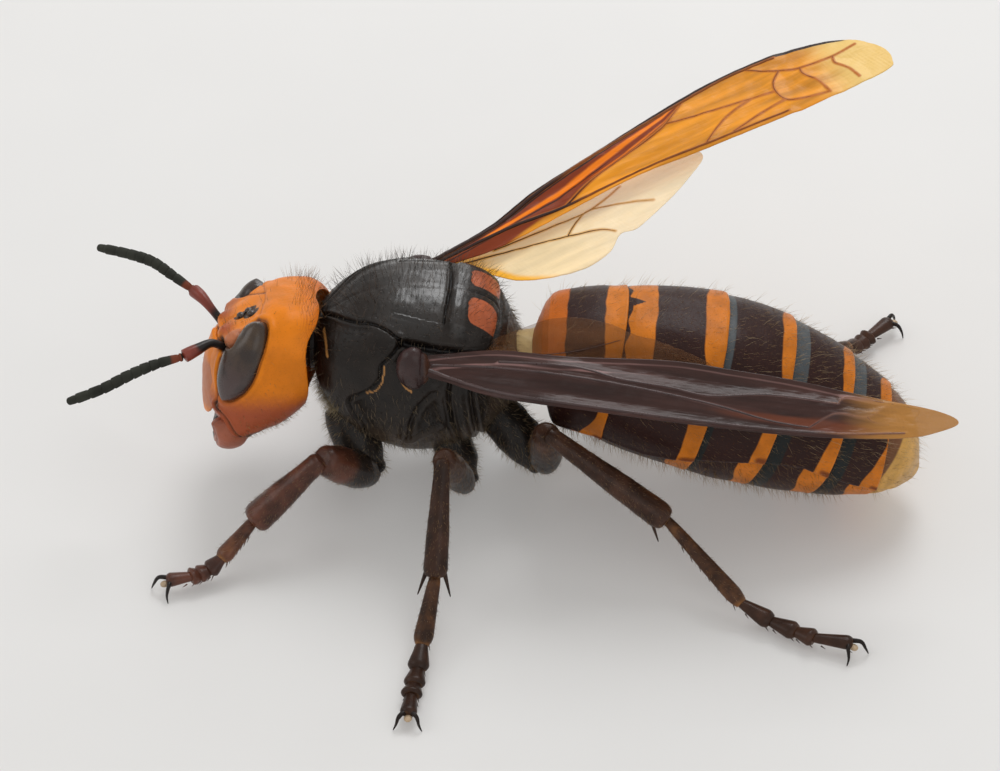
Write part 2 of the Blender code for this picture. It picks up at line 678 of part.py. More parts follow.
def inside(point, rim):
    hit = False
    for a, b in zip(rim, rim[1:] + rim[:1]):
        if (a.y > point.y) != (b.y > point.y):
            if point.x < a.x + (point.y - a.y) * (b.x - a.x) / (b.y - a.y):
                hit = not hit
    return hit


def arch(side, along, across, drop):
    """How far a point of a wing stands off the body, along OFF_BODY."""
    low, high = WING_ARCHES[side]
    share = min(max(along / ARCH_LENGTH, 0.0), 1.0)
    rise = low + (high - low) * share * share * (3 - 2 * share)
    if side == "left" and drop:
        rise += max(0.0, HINDWING_EDGE - across) * HINDWING_TILT
    return rise - drop


def wing(side, outline, veins, drop):
    """A thin sheet with its veins raised on both faces, which are split into triangles alike."""
    root, along, across = (Vector(part) for part in WING_PLACES[side])
    along.normalize()
    across = (across - along * across.dot(along)).normalized()
    down = along.cross(across)
    if down.z > 0:
        down.negate()
    rim = outline_points(outline)
    lines = [vein_points(vein) for vein in veins]
    points = list(rim)
    edges = []
    for line in lines:
        edges += [(len(points) + index, len(points) + index + 1) for index in range(len(line) - 1)]
        points += line
        for before, after in zip(line, line[1:]):
            beside = (after - before).normalized().orthogonal() * VEIN_REACH
            middle = (before + after) / 2
            for spot in (middle + beside, middle - beside):
                clear = min((spot - edge).length for edge in rim) > VEIN_REACH
                if clear and inside(spot, rim) and distance_to_veins(spot, lines) > VEIN_REACH * 0.9:
                    points.append(spot)
    triangulated = delaunay_2d_cdt(points, edges, [list(range(len(rim)))], 1, 1e-3)
    bm = bmesh.new()
    verts = [bm.verts.new((point.x, point.y, 0)) for point in triangulated[0]]
    for face in triangulated[2]:
        bm.faces.new([verts[index] for index in face])
    extruded = bmesh.ops.extrude_face_region(bm, geom=bm.faces[:])["geom"]
    upper = {item for item in extruded if isinstance(item, bmesh.types.BMVert)}
    for vert in bm.verts:
        flat = vert.co.xy
        nearness = 1 - min(distance_to_veins(flat, lines) / VEIN_REACH, 1)
        half = WING_THICKNESS / 2 + VEIN_HEIGHT * nearness
        rise = half if vert in upper else -half
        stand = OFF_BODY * arch(side, flat.x, flat.y, drop)
        vert.co = root + along * flat.x + across * flat.y + stand - down * rise
    return facing_out(bm)


def tegula(side, grow=0.0):
    """The little cap over a wing's root."""
    centre, sizes = TEGULAE[side]
    return ball(centre, [size + grow for size in sizes], 12, 8)


def build_head(parent):
    sides = {"left": 1, "right": -1}
    hollow = ball(*OCCIPUT_HOLLOW, 20, 12)
    sockets = [scape(side, GAP) for side in sides]
    eyes = [eye(sign, GAP) for sign in sides.values()]
    jaws = [jaw(sign, GAP) for sign in sides.values()]
    finished("head", cut(head(), hollow, *sockets, *eyes, *jaws), "orange", parent)
    for side, sign in sides.items():
        finished(f"eye_{side}", eye(sign), "eye", parent)
        finished(f"mandible_{side}", jaw(sign), "red_brown", parent)
        finished(f"antenna_scape_{side}", scape(side), "brown", parent)
        finished(f"antenna_flagellum_{side}", cut(whip(side), scape(side, GAP)), "black", parent)


def build_trunk(parent):
    neck = limb(NECK_FRONT, NECK_BACK, NECK_RADIUS, ((0, 0.9), (0.5, 1), (1, 0.9)), 14)
    hollow_centre, hollow_sizes = OCCIPUT_HOLLOW
    hollow = ball(hollow_centre, [size - GAP for size in hollow_sizes], 20, 12)
    finished("neck", cut(neck, thorax(GAP), cut(head(GAP), hollow)), "black", parent)
    collar = cut(thorax(), behind_collar(GAP), *[tegula(side, GAP) for side in TEGULAE])
    finished("pronotum", collar, "black", parent)
    middle = combined(thorax(), [behind_collar()], "INTERSECT")
    caps = [tegula(side, GAP) for side in TEGULAE]
    middle = cut(middle, scutellum_block(GAP), rear_wedge(GAP), *caps)
    finished("mesothorax", middle, "black", parent)
    top = combined(thorax(), [scutellum_block()], "INTERSECT")
    finished("scutellum", top, "red_brown", parent)
    rear = combined(thorax(), [rear_wedge()], "INTERSECT")
    finished("propodeum", cut(rear, scutellum_block(GAP)), "black", parent)
    for side in TEGULAE:
        finished(f"tegula_{side}", cut(tegula(side), thorax(GAP)), "brown", parent)
    waist = mould([section((0, y, z), X, Z, radius, radius) for y, z, radius in WAIST], 14)
    finished("petiole", cut(waist, thorax(GAP), abdomen_ring(1, GAP)), "cream", parent)


def rear_wedge(grow=0.0):
    """What lies behind the slanting rear edge of the wing-bearing ring."""
    normal = (REAR_CUT_FOOT - REAR_CUT_TOP).cross(X).normalized()
    if normal.y > 0:
        normal.negate()
    return halved(block((-9, -9, 0), (9, 12, 20)), REAR_CUT_TOP + normal * grow, normal)


def build_abdomen(parent):
    last = len(ABDOMEN_ENDS) - 1
    for number in range(1, last + 1):
        finish = "tip" if number == last else "banded"
        finished(f"abdomen_{number}", abdomen_ring(number), finish, parent)


def build_wings(parent):
    for side in WING_PLACES:
        finish = "smoky_wing" if side == "left" else "amber_wing"
        fore = wing(side, FOREWINGS[side], FOREWING_VEINS[side], 0.0)
        hind = wing(side, HINDWINGS[side], HINDWING_VEINS[side], HINDWING_DROP)
        finished(f"forewing_{side}", cut(fore, thorax(GAP), tegula(side, GAP)), finish, parent)
        finished(f"hindwing_{side}", cut(hind, thorax(GAP), tegula(side, GAP)), "amber_wing", parent)


def main():
    for obj in list(bpy.data.objects):
        bpy.data.objects.remove(obj)
    hornet = bpy.data.objects.new("hornet", None)
    hornet.location = Vector(FRAME_SHIFT) * MM
    bpy.context.scene.collection.objects.link(hornet)
    build_head(hornet)
    build_trunk(hornet)
    build_abdomen(hornet)
    for name in LEGS:
        leg(name, hornet, thorax)
    build_wings(hornet)


main()
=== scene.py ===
"""An Asian giant hornet at life size, as a museum shows it: standing, with its right wing raised.

Shapes are worked out in millimetres in the hornet's own frame, where it faces -Y and its left
side is at +X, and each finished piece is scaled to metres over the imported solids.
"""

import functools
import math

import bmesh
import bpy
import numpy as np
from bpy.props import FloatProperty, FloatVectorProperty, IntProperty, PointerProperty
from mathutils import Euler, Matrix, Vector


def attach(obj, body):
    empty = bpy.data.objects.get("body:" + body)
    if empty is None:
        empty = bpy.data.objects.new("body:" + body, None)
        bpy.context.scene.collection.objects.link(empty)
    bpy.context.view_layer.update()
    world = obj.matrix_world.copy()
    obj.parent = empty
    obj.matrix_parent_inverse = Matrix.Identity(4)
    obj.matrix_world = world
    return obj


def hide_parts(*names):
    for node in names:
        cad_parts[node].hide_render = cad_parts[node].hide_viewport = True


bl_info = {
    "name": "Giant hornet",
    "version": (1, 0, 0),
    "blender": (4, 5, 0),
    "location": "3D View > Sidebar > Hornet",
    "description": "Builds a life-size Asian giant hornet over its packed frame",
    "category": "Add Mesh",
}

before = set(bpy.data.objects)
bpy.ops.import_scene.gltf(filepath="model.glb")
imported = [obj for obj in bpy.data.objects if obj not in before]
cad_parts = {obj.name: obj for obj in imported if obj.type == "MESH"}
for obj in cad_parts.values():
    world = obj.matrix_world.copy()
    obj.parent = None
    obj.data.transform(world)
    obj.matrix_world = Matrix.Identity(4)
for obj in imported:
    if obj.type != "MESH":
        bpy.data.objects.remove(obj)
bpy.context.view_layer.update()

MM = 0.001
FRAME_SHIFT = np.array((-2.126, -6.26, 0.0))
X, Y, Z = np.eye(3)
SIDES = {"left": 1, "right": -1}

# Thorax: (y, half width, top height, bottom height) from the collar to the waist
THORAX = (
    (-6.45, 0.1, 10.9, 9.9), (-6.4, 1.2, 11.5, 9.2),
    (-6.3, 1.9, 12.0, 8.6), (-5.9, 2.9, 13.0, 7.8), (-5.0, 4.2, 13.8, 6.7), (-3.4, 5.0, 15.0, 5.0),
    (-1.4, 5.3, 15.7, 4.0), (0.4, 5.35, 15.8, 3.6), (2.3, 5.2, 15.7, 4.0), (3.6, 4.9, 15.4, 4.6),
    (4.8, 4.3, 14.8, 5.3), (5.7, 3.5, 13.5, 6.0), (6.4, 2.6, 12.0, 7.0), (6.9, 1.5, 10.9, 8.3),
    (7.0, 0.1, 10.0, 9.4),
)
THORAX_POWER, WIDEST_SHARE = 2.4, 0.46

# Abdomen: (y, x, z, radius) along its midline
ABDOMEN = (
    (7.4, 0.03, 9.4, 2.6), (8.1, 0.05, 9.6, 3.5), (9.0, 0.08, 9.75, 4.35), (11.3, 0.18, 9.86, 4.85),
    (14.5, 0.30, 9.5, 5.45), (18.0, 0.44, 8.9, 5.85), (21.0, 0.55, 8.1, 5.85), (23.7, 0.65, 7.15, 5.5),
    (26.3, 0.75, 6.1, 4.95), (28.9, 0.85, 4.9, 4.1), (30.9, 0.93, 3.7, 3.0), (32.2, 0.98, 2.75, 1.6),
    (33.0, 1.0, 2.2, 0.9),
)
# Rear edge of each ring but the last: its place on top, and how much further back it is below
RING_EDGES = ((13.1, -0.4), (18.8, -0.1), (22.6, 0.25), (26.4, 0.5), (28.9, 1.3))
ABDOMEN_START, ABDOMEN_END = 8.5, 32.6

# Head: (z, half width, front, back) in its own frame, where -Y is the face
HEAD = (
    (3.25, 0.05, 1.75, 1.85), (3.22, 1.1, 1.25, 2.35),
    (3.15, 2.0, 0.8, 2.8), (2.95, 3.2, 0.0, 3.5), (2.3, 4.1, -1.2, 4.1), (1.4, 4.6, -2.5, 4.4),
    (0.4, 4.9, -3.4, 4.5), (-0.8, 4.95, -3.9, 4.3), (-2.2, 4.85, -4.05, 3.65), (-3.5, 4.6, -4.1, 2.6),
    (-4.5, 4.2, -3.6, 1.4), (-5.1, 3.2, -3.1, 0.3), (-5.3, 1.7, -2.7, -0.7), (-5.35, 0.05, -1.9, -1.7),
)
HEAD_PLACE = Matrix.Translation((-0.1, -9.5, 10.45)) @ Euler(
    (math.radians(-1), math.radians(-20), math.radians(7.6))
).to_matrix().to_4x4()
# The hollow behind the head, which the collar fits into
HOLLOW_CENTRE, HOLLOW_SIZES = np.array((0.85, -4.9, 10.3)), np.array((4.1, 2.8, 3.8))

# Eye: (place along its height, reach forwards, reach backwards), and the round notch in its front edge
EYE = (
    (-2.9, 0.2, -0.18), (-2.82, 0.5, 0.07), (-2.55, 0.8, 0.45), (-1.9, 1.18, 0.95), (-1.2, 1.38, 1.22),
    (-0.5, 1.46, 1.34), (0.3, 1.42, 1.36), (0.95, 1.15, 1.33), (1.5, 0.86, 1.24), (2.07, 0.72, 1.04),
    (2.45, 0.48, 0.82), (2.7, 0.16, 0.56), (2.8, -0.22, 0.28),
)
NOTCH_CENTRE, NOTCH_RADIUS = (0.98, -1.25), 0.62
EYE_CENTRE = np.array((3.75, -1.6, -0.1))
EYE_UP = np.array(Vector((-0.08, 0.37, 0.92)).normalized())
EYE_OUT = np.array(Vector((0.8, -0.55, 0.25)).normalized())
EYE_BACK = np.cross(EYE_UP, EYE_OUT)
EYE_BULGE, EYE_DEPTH = 1.15, 0.9

JAW_ROUTE = ((3.1, -2.6, -4.2), (2.9, -2.5, -5.5), (2.0, -2.9, -6.2), (0.4, -3.4, -6.1))

# Feelers: route of the shaft and of the whip
SCAPES = {
    "left": ((2.3, -11.9, 11.45), (2.5, -12.8, 12.0), (3.15, -13.7, 11.95), (3.7, -14.5, 11.8)),
    "right": ((-1.2, -12.2, 9.8), (-2.0, -13.3, 10.8), (-2.8, -14.1, 11.2), (-3.5, -14.75, 11.2)),
}
WHIPS = {
    "left": (
        (3.7, -14.5, 11.8), (4.2, -16.2, 11.5), (4.9, -17.8, 11.1), (5.5, -19.6, 10.3), (6.0, -21.8, 9.5),
    ),
    "right": (
        (-3.5, -14.75, 11.2), (-4.3, -16.2, 11.7), (-5.1, -17.6, 12.1), (-5.9, -19.3, 12.0),
        (-7.0, -21.5, 11.5),
    ),
}

# Legs: coxa root, trochanter, knee, ankle, ends of the first, fourth and fifth tarsal joint,
# and which way the claws point
LEGS = {
    "front_left": (
        (2.6, -4.6, 7.3), (4.8, -2.4, 3.3), (7.5, -5.4, 7.0), (9.6, -9.7, 3.2),
        (11.6, -11.5, 1.8), (12.7, -13.3, 1.1), (13.05, -14.8, 1.0), (0.68, -0.73, 0),
    ),
    "mid_left": (
        (2.6, 2.2, 6.0), (5.3, 3.7, 3.2), (9.0, 2.5, 9.0), (13.9, 2.35, 3.2),
        (17.9, 1.85, 1.3), (21.8, 1.5, 0.75), (23.5, 1.45, 0.85), (1, 0.0, 0),
    ),
    "hind_left": (
        (2.1, 5.1, 7.4), (3.8, 8.7, 3.9), (6.7, 8.9, 9.5), (9.1, 16.8, 4.6),
        (12.95, 21.7, 1.4), (15.2, 26.3, 0.85), (15.6, 28.7, 0.95), (0.75, 0.66, 0),
    ),
    "front_right": (
        (-2.6, -4.6, 7.3), (-4.8, -2.4, 3.3), (-9.0, -3.4, 6.4), (-10.8, -6.6, 2.6),
        (-12.6, -8.1, 1.6), (-13.7, -9.6, 1.0), (-14.4, -10.9, 1.0), (-0.5, -0.87, 0),
    ),
    "mid_right": (
        (-2.6, 2.2, 6.0), (-5.3, 3.7, 3.2), (-9.3, 2.6, 7.2), (-12.4, 1.6, 1.9),
        (-15.3, 0.9, 1.1), (-17.3, -0.5, 0.75), (-18.2, -1.7, 0.85), (-0.6, -0.8, 0),
    ),
    "hind_right": (
        (-2.1, 5.1, 7.4), (-3.8, 8.7, 3.9), (-7.6, 15.4, 6.2), (-7.2, 24.0, 2.8),
        (-12.0, 28.2, 1.5), (-13.7, 29.6, 0.9), (-15.3, 31.0, 0.95), (-0.35, 0.94, 0),
    ),
}
# Radii of coxa, femur, tibia and foot
LEG_RADII = {
    "front": (1.5, 1.2, 1.12, 0.6),
    "mid": (1.3, 0.95, 0.8, 0.62),
    "hind": (1.45, 1.05, 0.98, 0.6),
}
# Where each spur's tip is from the ankle: ahead, aside and up
SPURS = {
    "front": (),
    "mid": ((1.0, 1.05, -0.2), (1.0, -1.05, -0.2)),
    "hind": ((-0.35, 0.75, -1.5), (-0.35, -0.75, -1.5)),
}
# Thickness along each part of a leg: (place, share of its radius)
COXA_SHAPE = (
    (0.0, 0.75), (0.25, 1.0), (0.6, 1.0), (0.76, 0.8), (0.8, 0.66), (0.86, 0.72), (0.95, 0.7), (1.0, 0.45),
)
FEMUR_SHAPE = ((0.0, 0.4), (0.05, 0.65), (0.3, 1.0), (0.65, 1.0), (0.94, 0.78), (1.0, 0.45))
TIBIA_SHAPE = ((0.0, 0.4), (0.05, 0.65), (0.2, 0.66), (0.6, 0.9), (0.93, 1.0), (1.0, 0.6))
FOOT_SHAPE = ((0.0, 0.5), (0.15, 0.68), (0.85, 1.05), (1.0, 0.6))
LOBE_SHAPE = ((0.0, 0.45), (0.2, 0.65), (0.8, 1.15), (1.0, 0.8))
LAST_JOINT_SHAPE = ((0.0, 0.45), (0.2, 0.6), (0.85, 0.9), (1.0, 0.5))

# Wings: root, direction of the blade and of its width, and outlines as (along, across)
WING_PLACES = {
    "left": ((5.0, 2.2, 14.6), (0.049, 0.996, -0.074), (0.882, -0.078, -0.465)),
    "right": ((-4.8, 1.6, 13.9), (-0.402, 0.885, 0.235), (0.897, 0.432, -0.094)),
}
OFF_BODY = np.array((0.742, 0.052, 0.669))
WING_ARCHES = {"left": (-1.3, 1.1), "right": (0.0, 0.0)}
HINDWING_DROP = 1.38
OUTLINES = {
    "forewing_left": (
        (-1.4, 0.7), (0.0, 0.3), (3.5, -0.5), (7.7, -0.7), (14.1, -1.3), (18.4, -1.25), (22.7, -1.1),
        (28.0, -0.6), (31.3, -0.35), (32.6, 0.2), (31.4, 1.0), (29.4, 1.7), (25.2, 2.3), (21.0, 2.6),
        (14.6, 2.75), (10.3, 2.75), (3.9, 2.7), (0.6, 2.1), (-1.4, 1.7),
    ),
    "forewing_right": (
        (-1.5, -0.4), (0.1, -0.5), (3.6, -1.0), (7.3, -2.1), (10.8, -2.9), (14.4, -3.7), (17.9, -4.3),
        (21.3, -4.7), (25.5, -4.7), (28.7, -4.1), (30.6, -3.2), (32.0, -1.7), (32.2, -0.3), (31.2, 0.4),
        (25.5, 0.6), (17.9, 0.35), (12.8, 0.25), (8.3, 0.6), (3.9, 0.9), (0.1, 0.7), (-1.5, 0.6),
    ),
    "hindwing_left": (
        (-0.6, 0.8), (2.0, -0.6), (5.6, -2.6), (6.7, -3.1), (8.4, -3.4), (10.3, -3.2), (11.9, -2.7),
        (13.4, -2.5), (16.6, -1.6), (17.4, -0.2), (12.0, 0.6), (5.0, 1.2), (-0.6, 1.6),
    ),
    "hindwing_right": (
        (-1.0, 0.5), (3.0, 0.0), (10.0, -0.5), (16.0, -0.4), (17.8, 0.0), (18.0, 1.0), (16.1, 2.3),
        (13.4, 3.6), (11.9, 4.2), (10.8, 4.1), (9.6, 5.1), (7.7, 5.5), (5.4, 5.1), (3.6, 4.2),
        (2.1, 2.9), (0.6, 1.7), (-1.0, 1.2),
    ),
}
# Veins of each wing, each with its radius: (radius, points as (along, across))
VEINS = {
    "forewing_left": (
        (0.13, (
            (-1.0, 1.4), (3.9, 2.35), (10.3, 2.45), (14.6, 2.45), (21.0, 2.3), (25.2, 2.0), (29.4, 1.4),
        )),
        (0.1, (
            (-0.6, 1.15), (3.6, 0.75), (7.8, 0.65), (12.1, 0.8), (17.0, 1.2), (20.9, 1.75), (23.4, 1.85),
        )),
        (0.09, (
            (3.6, 0.35), (8.3, 0.0), (11.3, 0.4), (14.4, 0.5), (17.0, 0.7), (20.9, 0.05), (25.0, 0.05),
        )),
        (0.045, ((23.4, 1.85), (24.4, 1.05), (25.2, 0.7), (26.9, 0.7), (28.2, -0.4))),
        (0.045, ((25.0, 0.05), (25.6, -0.5), (28.2, -0.4), (30.0, -0.25), (29.8, 0.4))),
        (0.04, ((26.9, 0.7), (27.6, 1.0), (30.0, 1.0))),
    ),
    "forewing_right": (
        (0.15, ((-1.1, -0.1), (3.6, -0.7), (7.3, -1.8), (14.4, -3.4), (21.3, -4.4), (25.5, -4.4))),
        (0.13, ((-1.1, 0.3), (4.5, 0.0), (8.5, 0.1), (12.8, -0.05), (17.9, 0.05), (24.5, 0.3))),
        (0.07, ((8.5, 0.1), (11.1, -1.0), (15.6, -2.4), (17.0, -2.9), (18.6, -4.0))),
        (0.05, ((17.0, -2.9), (20.3, -2.3), (24.4, -1.7))),
        (0.05, ((18.6, 0.05), (20.6, -1.3), (22.6, -1.9))),
        (0.045, ((20.6, 0.05), (22.9, -0.45), (24.7, -0.7))),
        (0.055, ((23.4, -4.4), (24.4, -3.7), (25.3, -3.2), (26.6, -2.7), (28.9, -2.5), (30.6, -2.7))),
        (0.05, ((25.3, -3.2), (24.6, -2.5), (24.4, -1.7), (24.7, -0.7), (25.7, -0.2), (27.5, 0.2))),
        (0.05, ((26.6, -2.7), (26.6, -2.1), (27.2, -1.1), (27.5, 0.2))),
        (0.04, ((28.9, -2.5), (28.8, -1.9), (29.4, -1.0), (29.7, 0.0))),
    ),
    "hindwing_left": (
        (0.04, ((-0.2, 1.1), (4.0, 0.0), (8.0, -1.0), (11.0, -2.2))),
        (0.03, ((5.9, -0.45), (10.0, -0.3), (14.0, -0.8))),
    ),
    "hindwing_right": (
        (0.06, ((-0.6, 0.9), (3.0, 1.5), (7.7, 2.6), (9.8, 3.1), (10.6, 3.7))),
        (0.045, ((7.7, 2.6), (8.7, 1.7), (9.8, 1.2), (12.0, 1.9), (13.8, 2.6))),
        (0.05, ((3.0, 1.1), (6.9, 1.2), (9.8, 1.2), (12.3, 0.4))),
    ),
}

# Camera: its place, the point that it looks at, and its lens for a sensor 36 wide
CAMERA_FROM, CAMERA_TO, CAMERA_LENS = (208.72, 20.09, 195.65), (1.146, 5.577, 8.298), 156.24


# Numbers along curves

def unit(vectors):
    vectors = np.asarray(vectors, float)
    return vectors / np.maximum(np.linalg.norm(vectors, axis=-1, keepdims=True), 1e-12)


def ease(values, start, end):
    """0 before start and 1 after end, with a smooth change between."""
    t = np.clip((np.asarray(values, float) - start) / (end - start), 0, 1)
    return t * t * (3 - 2 * t)


def spline(rows, places):
    """Rows of numbers read at places from 0 to 1 along a smooth curve through them."""
    rows, places = np.asarray(rows, float), np.atleast_1d(places)
    at = np.clip(places, 0, 1) * (len(rows) - 1)
    index = np.minimum(at.astype(int), len(rows) - 2)
    t = (at - index)[:, None]
    a, b, c, d = (rows[np.clip(index + step, 0, len(rows) - 1)] for step in (-1, 0, 1, 2))
    return 0.5 * (2 * b + (c - a) * t + (2 * a - 5 * b + 4 * c - d) * t**2 + (3 * (b - c) + d - a) * t**3)


def spline_at(rows, values):
    """The columns after the first, where the first column has these values."""
    fine = spline(rows, np.linspace(0, 1, 1200))
    order = np.argsort(fine[:, 0], kind="stable")
    fine = fine[order]
    return [np.interp(values, fine[:, 0], column) for column in fine.T[1:]]


def away(points, line, steps=40):
    """How far points are from a smooth line, which in space is laid on the nearest of the points first."""
    line = spline(line, np.linspace(0, 1, steps))
    if points.shape[1] == 3:
        line = np.array([points[np.argmin(np.sum((points - stop) ** 2, axis=1))] for stop in line])
        line[1:-1] = line[1:-1] / 2 + (line[:-2] + line[2:]) / 4
    nearest = np.full(len(points), 1e9)
    for start, end in zip(line, line[1:]):
        run = end - start
        share = np.clip((points - start) @ run / max(run @ run, 1e-12), 0, 1)
        nearest = np.minimum(nearest, np.sum((points - start - share[:, None] * run) ** 2, axis=1))
    return np.sqrt(nearest)


def hump(distance, width):
    """1 where the distance is 0, falling to 0 either side like a bell of this half width."""
    return np.exp(-((distance / width) ** 2))


def near(points, centre, size):
    """1 at a centre, falling to 0 over the size in each direction."""
    return hump(np.linalg.norm((points - np.array(centre)) / np.array(size), axis=1), 1.0)


def ripples(points, size, seed=0, count=7):
    """A smooth random height for points, from -1 to 1, with waves of about this size."""
    rng = np.random.default_rng(seed)
    total = np.zeros(len(points))
    for _ in range(count):
        direction = unit(rng.normal(size=points.shape[1])) / size * rng.uniform(0.6, 1.6)
        total += np.sin(points @ direction * 2 * math.pi + rng.uniform(0, 6.28))
    return total / count * 1.4


# Skins

class Form:
    """A closed skin in millimetres: its points, its faces' corners and values for each point."""

    def __init__(self, points, corners, sizes):
        self.points, self.corners, self.sizes = points, corners, sizes
        self.finish = np.zeros(len(sizes), int)  # which of the materials each face has
        self.marks = {}
        self.unwrap = np.zeros((len(points), 2))
        self.map = None

    @classmethod
    def of(cls, bm):
        mesh = bpy.data.meshes.new("raw")
        bm.to_mesh(mesh)
        bm.free()
        points = np.empty(len(mesh.vertices) * 3)
        corners = np.empty(len(mesh.loops), int)
        sizes = np.empty(len(mesh.polygons), int)
        mesh.vertices.foreach_get("co", points)
        mesh.loops.foreach_get("vertex_index", corners)
        mesh.polygons.foreach_get("loop_total", sizes)
        bpy.data.meshes.remove(mesh)
        return cls(points.reshape(-1, 3), corners, sizes)

    def triangles(self):
        starts = np.cumsum(self.sizes) - self.sizes
        quads = starts[self.sizes == 4]
        c = self.corners
        return np.concatenate((
            np.stack((c[starts], c[starts + 1], c[starts + 2]), 1),
            np.stack((c[quads], c[quads + 2], c[quads + 3]), 1),
        ))

    def normals(self):
        tris = self.triangles()
        a, b, c = (self.points[tris[:, corner]] for corner in range(3))
        cross = np.cross(b - a, c - a)
        total = np.zeros_like(self.points)
        for corner in range(3):
            for axis in range(3):
                total[:, axis] += np.bincount(tris[:, corner], cross[:, axis], len(self.points))
        return unit(total)

    def facing_out(self):
        tris = self.points[self.triangles()]
        if np.einsum("ij,ij->i", tris[:, 0], np.cross(tris[:, 1], tris[:, 2])).sum() < 0:
            self.corners, self.sizes = self.corners[::-1], self.sizes[::-1]
        return self

    def push(self, amount):
        self.points = self.points + self.normals() * np.asarray(amount)[:, None]

    def placed(self, matrix):
        matrix = np.array(matrix)
        self.points = self.points @ matrix[:3, :3].T + matrix[:3, 3]
        return self.facing_out()

    def marked(self, **marks):
        for name, values in marks.items():
            self.marks[name] = np.broadcast_to(np.asarray(values, float), len(self.points)).copy()
        return self

    def finished_as(self, index):
        self.finish = np.full(len(self.sizes), index)
        return self


def joined(forms):
    """Several skins as one, with a mark that a skin lacks taken as 0; each unwrap gets its own tile."""
    forms = list(forms)
    tiles = math.ceil(math.sqrt(len(forms)))
    offsets = np.cumsum([0] + [len(form.points) for form in forms[:-1]])
    whole = Form(
        np.concatenate([form.points for form in forms]),
        np.concatenate([form.corners + offset for form, offset in zip(forms, offsets)]),
        np.concatenate([form.sizes for form in forms]),
    )
    whole.finish = np.concatenate([form.finish for form in forms])
    whole.unwrap = np.concatenate([
        (form.unwrap * 0.96 + 0.02 + divmod(number, tiles)) / tiles for number, form in enumerate(forms)
    ])
    for name in {name for form in forms for name in form.marks}:
        whole.marks[name] = np.concatenate(
            [form.marks.get(name, np.zeros(len(form.points))) for form in forms]
        )
    return whole


@functools.cache
def globe(rows, around):
    """A grid rolled into a sphere and closed, which is quicker than a sphere where the rows are many."""
    bm = bmesh.new()
    bmesh.ops.create_grid(bm, x_segments=around, y_segments=rows, size=1)
    for vert in bm.verts:
        turn, fall = vert.co.x * math.pi, (vert.co.y + 1) / 2 * math.pi
        vert.co = (math.sin(fall) * math.cos(turn), math.sin(fall) * math.sin(turn), math.cos(fall))
    bmesh.ops.remove_doubles(bm, verts=bm.verts, dist=1e-6)
    return Form.of(bm)


def grown(rows, around, shape):
    """A globe whose points are moved by shape(place, turn), with place from one pole to the other."""
    model = globe(rows, around)
    form = Form(model.points, model.corners, model.sizes)
    x, y, z = form.points.T
    form.place = np.rint(np.arccos(np.clip(z, -1, 1)) / math.pi * rows) / rows
    form.turn = np.arctan2(y, x)
    form.unwrap = np.stack((form.turn / (2 * math.pi) + 0.5, form.place), 1)
    form.points = shape(form.place, form.turn)
    return form.facing_out()


def oval(turn, power=2.0, low_power=None):
    """Across and along on a rounded section of half size 1."""
    across, along = np.cos(turn), np.sin(turn)
    bend = 2 / np.where(along > 0, power, low_power or power)
    return np.sign(across) * np.abs(across) ** bend, np.sign(along) * np.abs(along) ** bend


def dome(place, length):
    """How wide a form is near its ends, rounded over this share of its length."""
    short = np.clip((length - np.minimum(place, 1 - place)) / length, 0, 1)
    return np.sqrt(1 - short**2)


def swept(route, width, height=None, reference=Z, around=20, rows=40, round_share=0.02):
    """A round-ended tube along a smooth curve; width and height are functions of its place."""
    height = height or width

    def shape(place, turn):
        at = 0.5 - 0.5 * np.cos(math.pi * place)
        centre = spline(route, at)
        forward = unit(spline(route, at + 0.01) - spline(route, at - 0.01))
        side = unit(np.cross(forward, reference))
        up = np.cross(side, forward)
        across, along = oval(turn)
        cap = dome(at, round_share)
        across, along = across * width(at) * cap, along * height(at) * cap
        return centre + side * across[:, None] + up * along[:, None]

    form = grown(rows, around, shape)
    form.marked(at=0.5 - 0.5 * np.cos(math.pi * form.place))
    return form


def limb(start, end, radius, shape, around, rows, flat=1.0):
    """A stretch of a leg whose thickness follows the smoothed rows of shape; flat is its height's share."""
    reference = Z if abs(unit(end - start)[2]) < 0.95 else Y
    fine = np.linspace(0, 1, 60)
    steps = np.interp(fine, *np.array(shape, float).T) * radius
    smooth = np.convolve(np.pad(steps, 3, "edge"), np.ones(7) / 7, "valid")

    def width(at):
        return np.interp(at, fine, smooth)

    route = (start, (start + end) / 2, end)
    return swept(route, width, lambda at: width(at) * flat, reference, around, rows, 0.03)


def show(name, forms, materials, slot, replaced=()):
    """The skins as one object in metres that rides on the hornet's body."""
    whole = forms if isinstance(forms, Form) else joined(forms) if len(forms) > 1 else forms[0]
    mesh = bpy.data.meshes.new(name)
    mesh.vertices.add(len(whole.points))
    mesh.loops.add(len(whole.corners))
    mesh.polygons.add(len(whole.sizes))
    mesh.vertices.foreach_set("co", ((whole.points + FRAME_SHIFT) * MM).ravel())
    mesh.loops.foreach_set("vertex_index", whole.corners)
    mesh.polygons.foreach_set("loop_start", np.cumsum(whole.sizes) - whole.sizes)
    mesh.polygons.foreach_set("material_index", whole.finish)
    mesh.update(calc_edges=True)
    for mark, values in whole.marks.items():
        mesh.attributes.new(mark, "FLOAT", "POINT").data.foreach_set("value", values)
    if whole.map is not None:
        layer = mesh.uv_layers.new(name="OFBake")
        layer.data.foreach_set("uv", whole.map[whole.corners].ravel())
    mesh.shade_smooth()
    for material in materials:
        mesh.materials.append(material)
    piece = bpy.data.objects.new(name, mesh)
    bpy.context.scene.collection.objects.link(piece)
    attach(piece, "root")
    if replaced:
        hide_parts(*replaced)
    return piece


# Materials

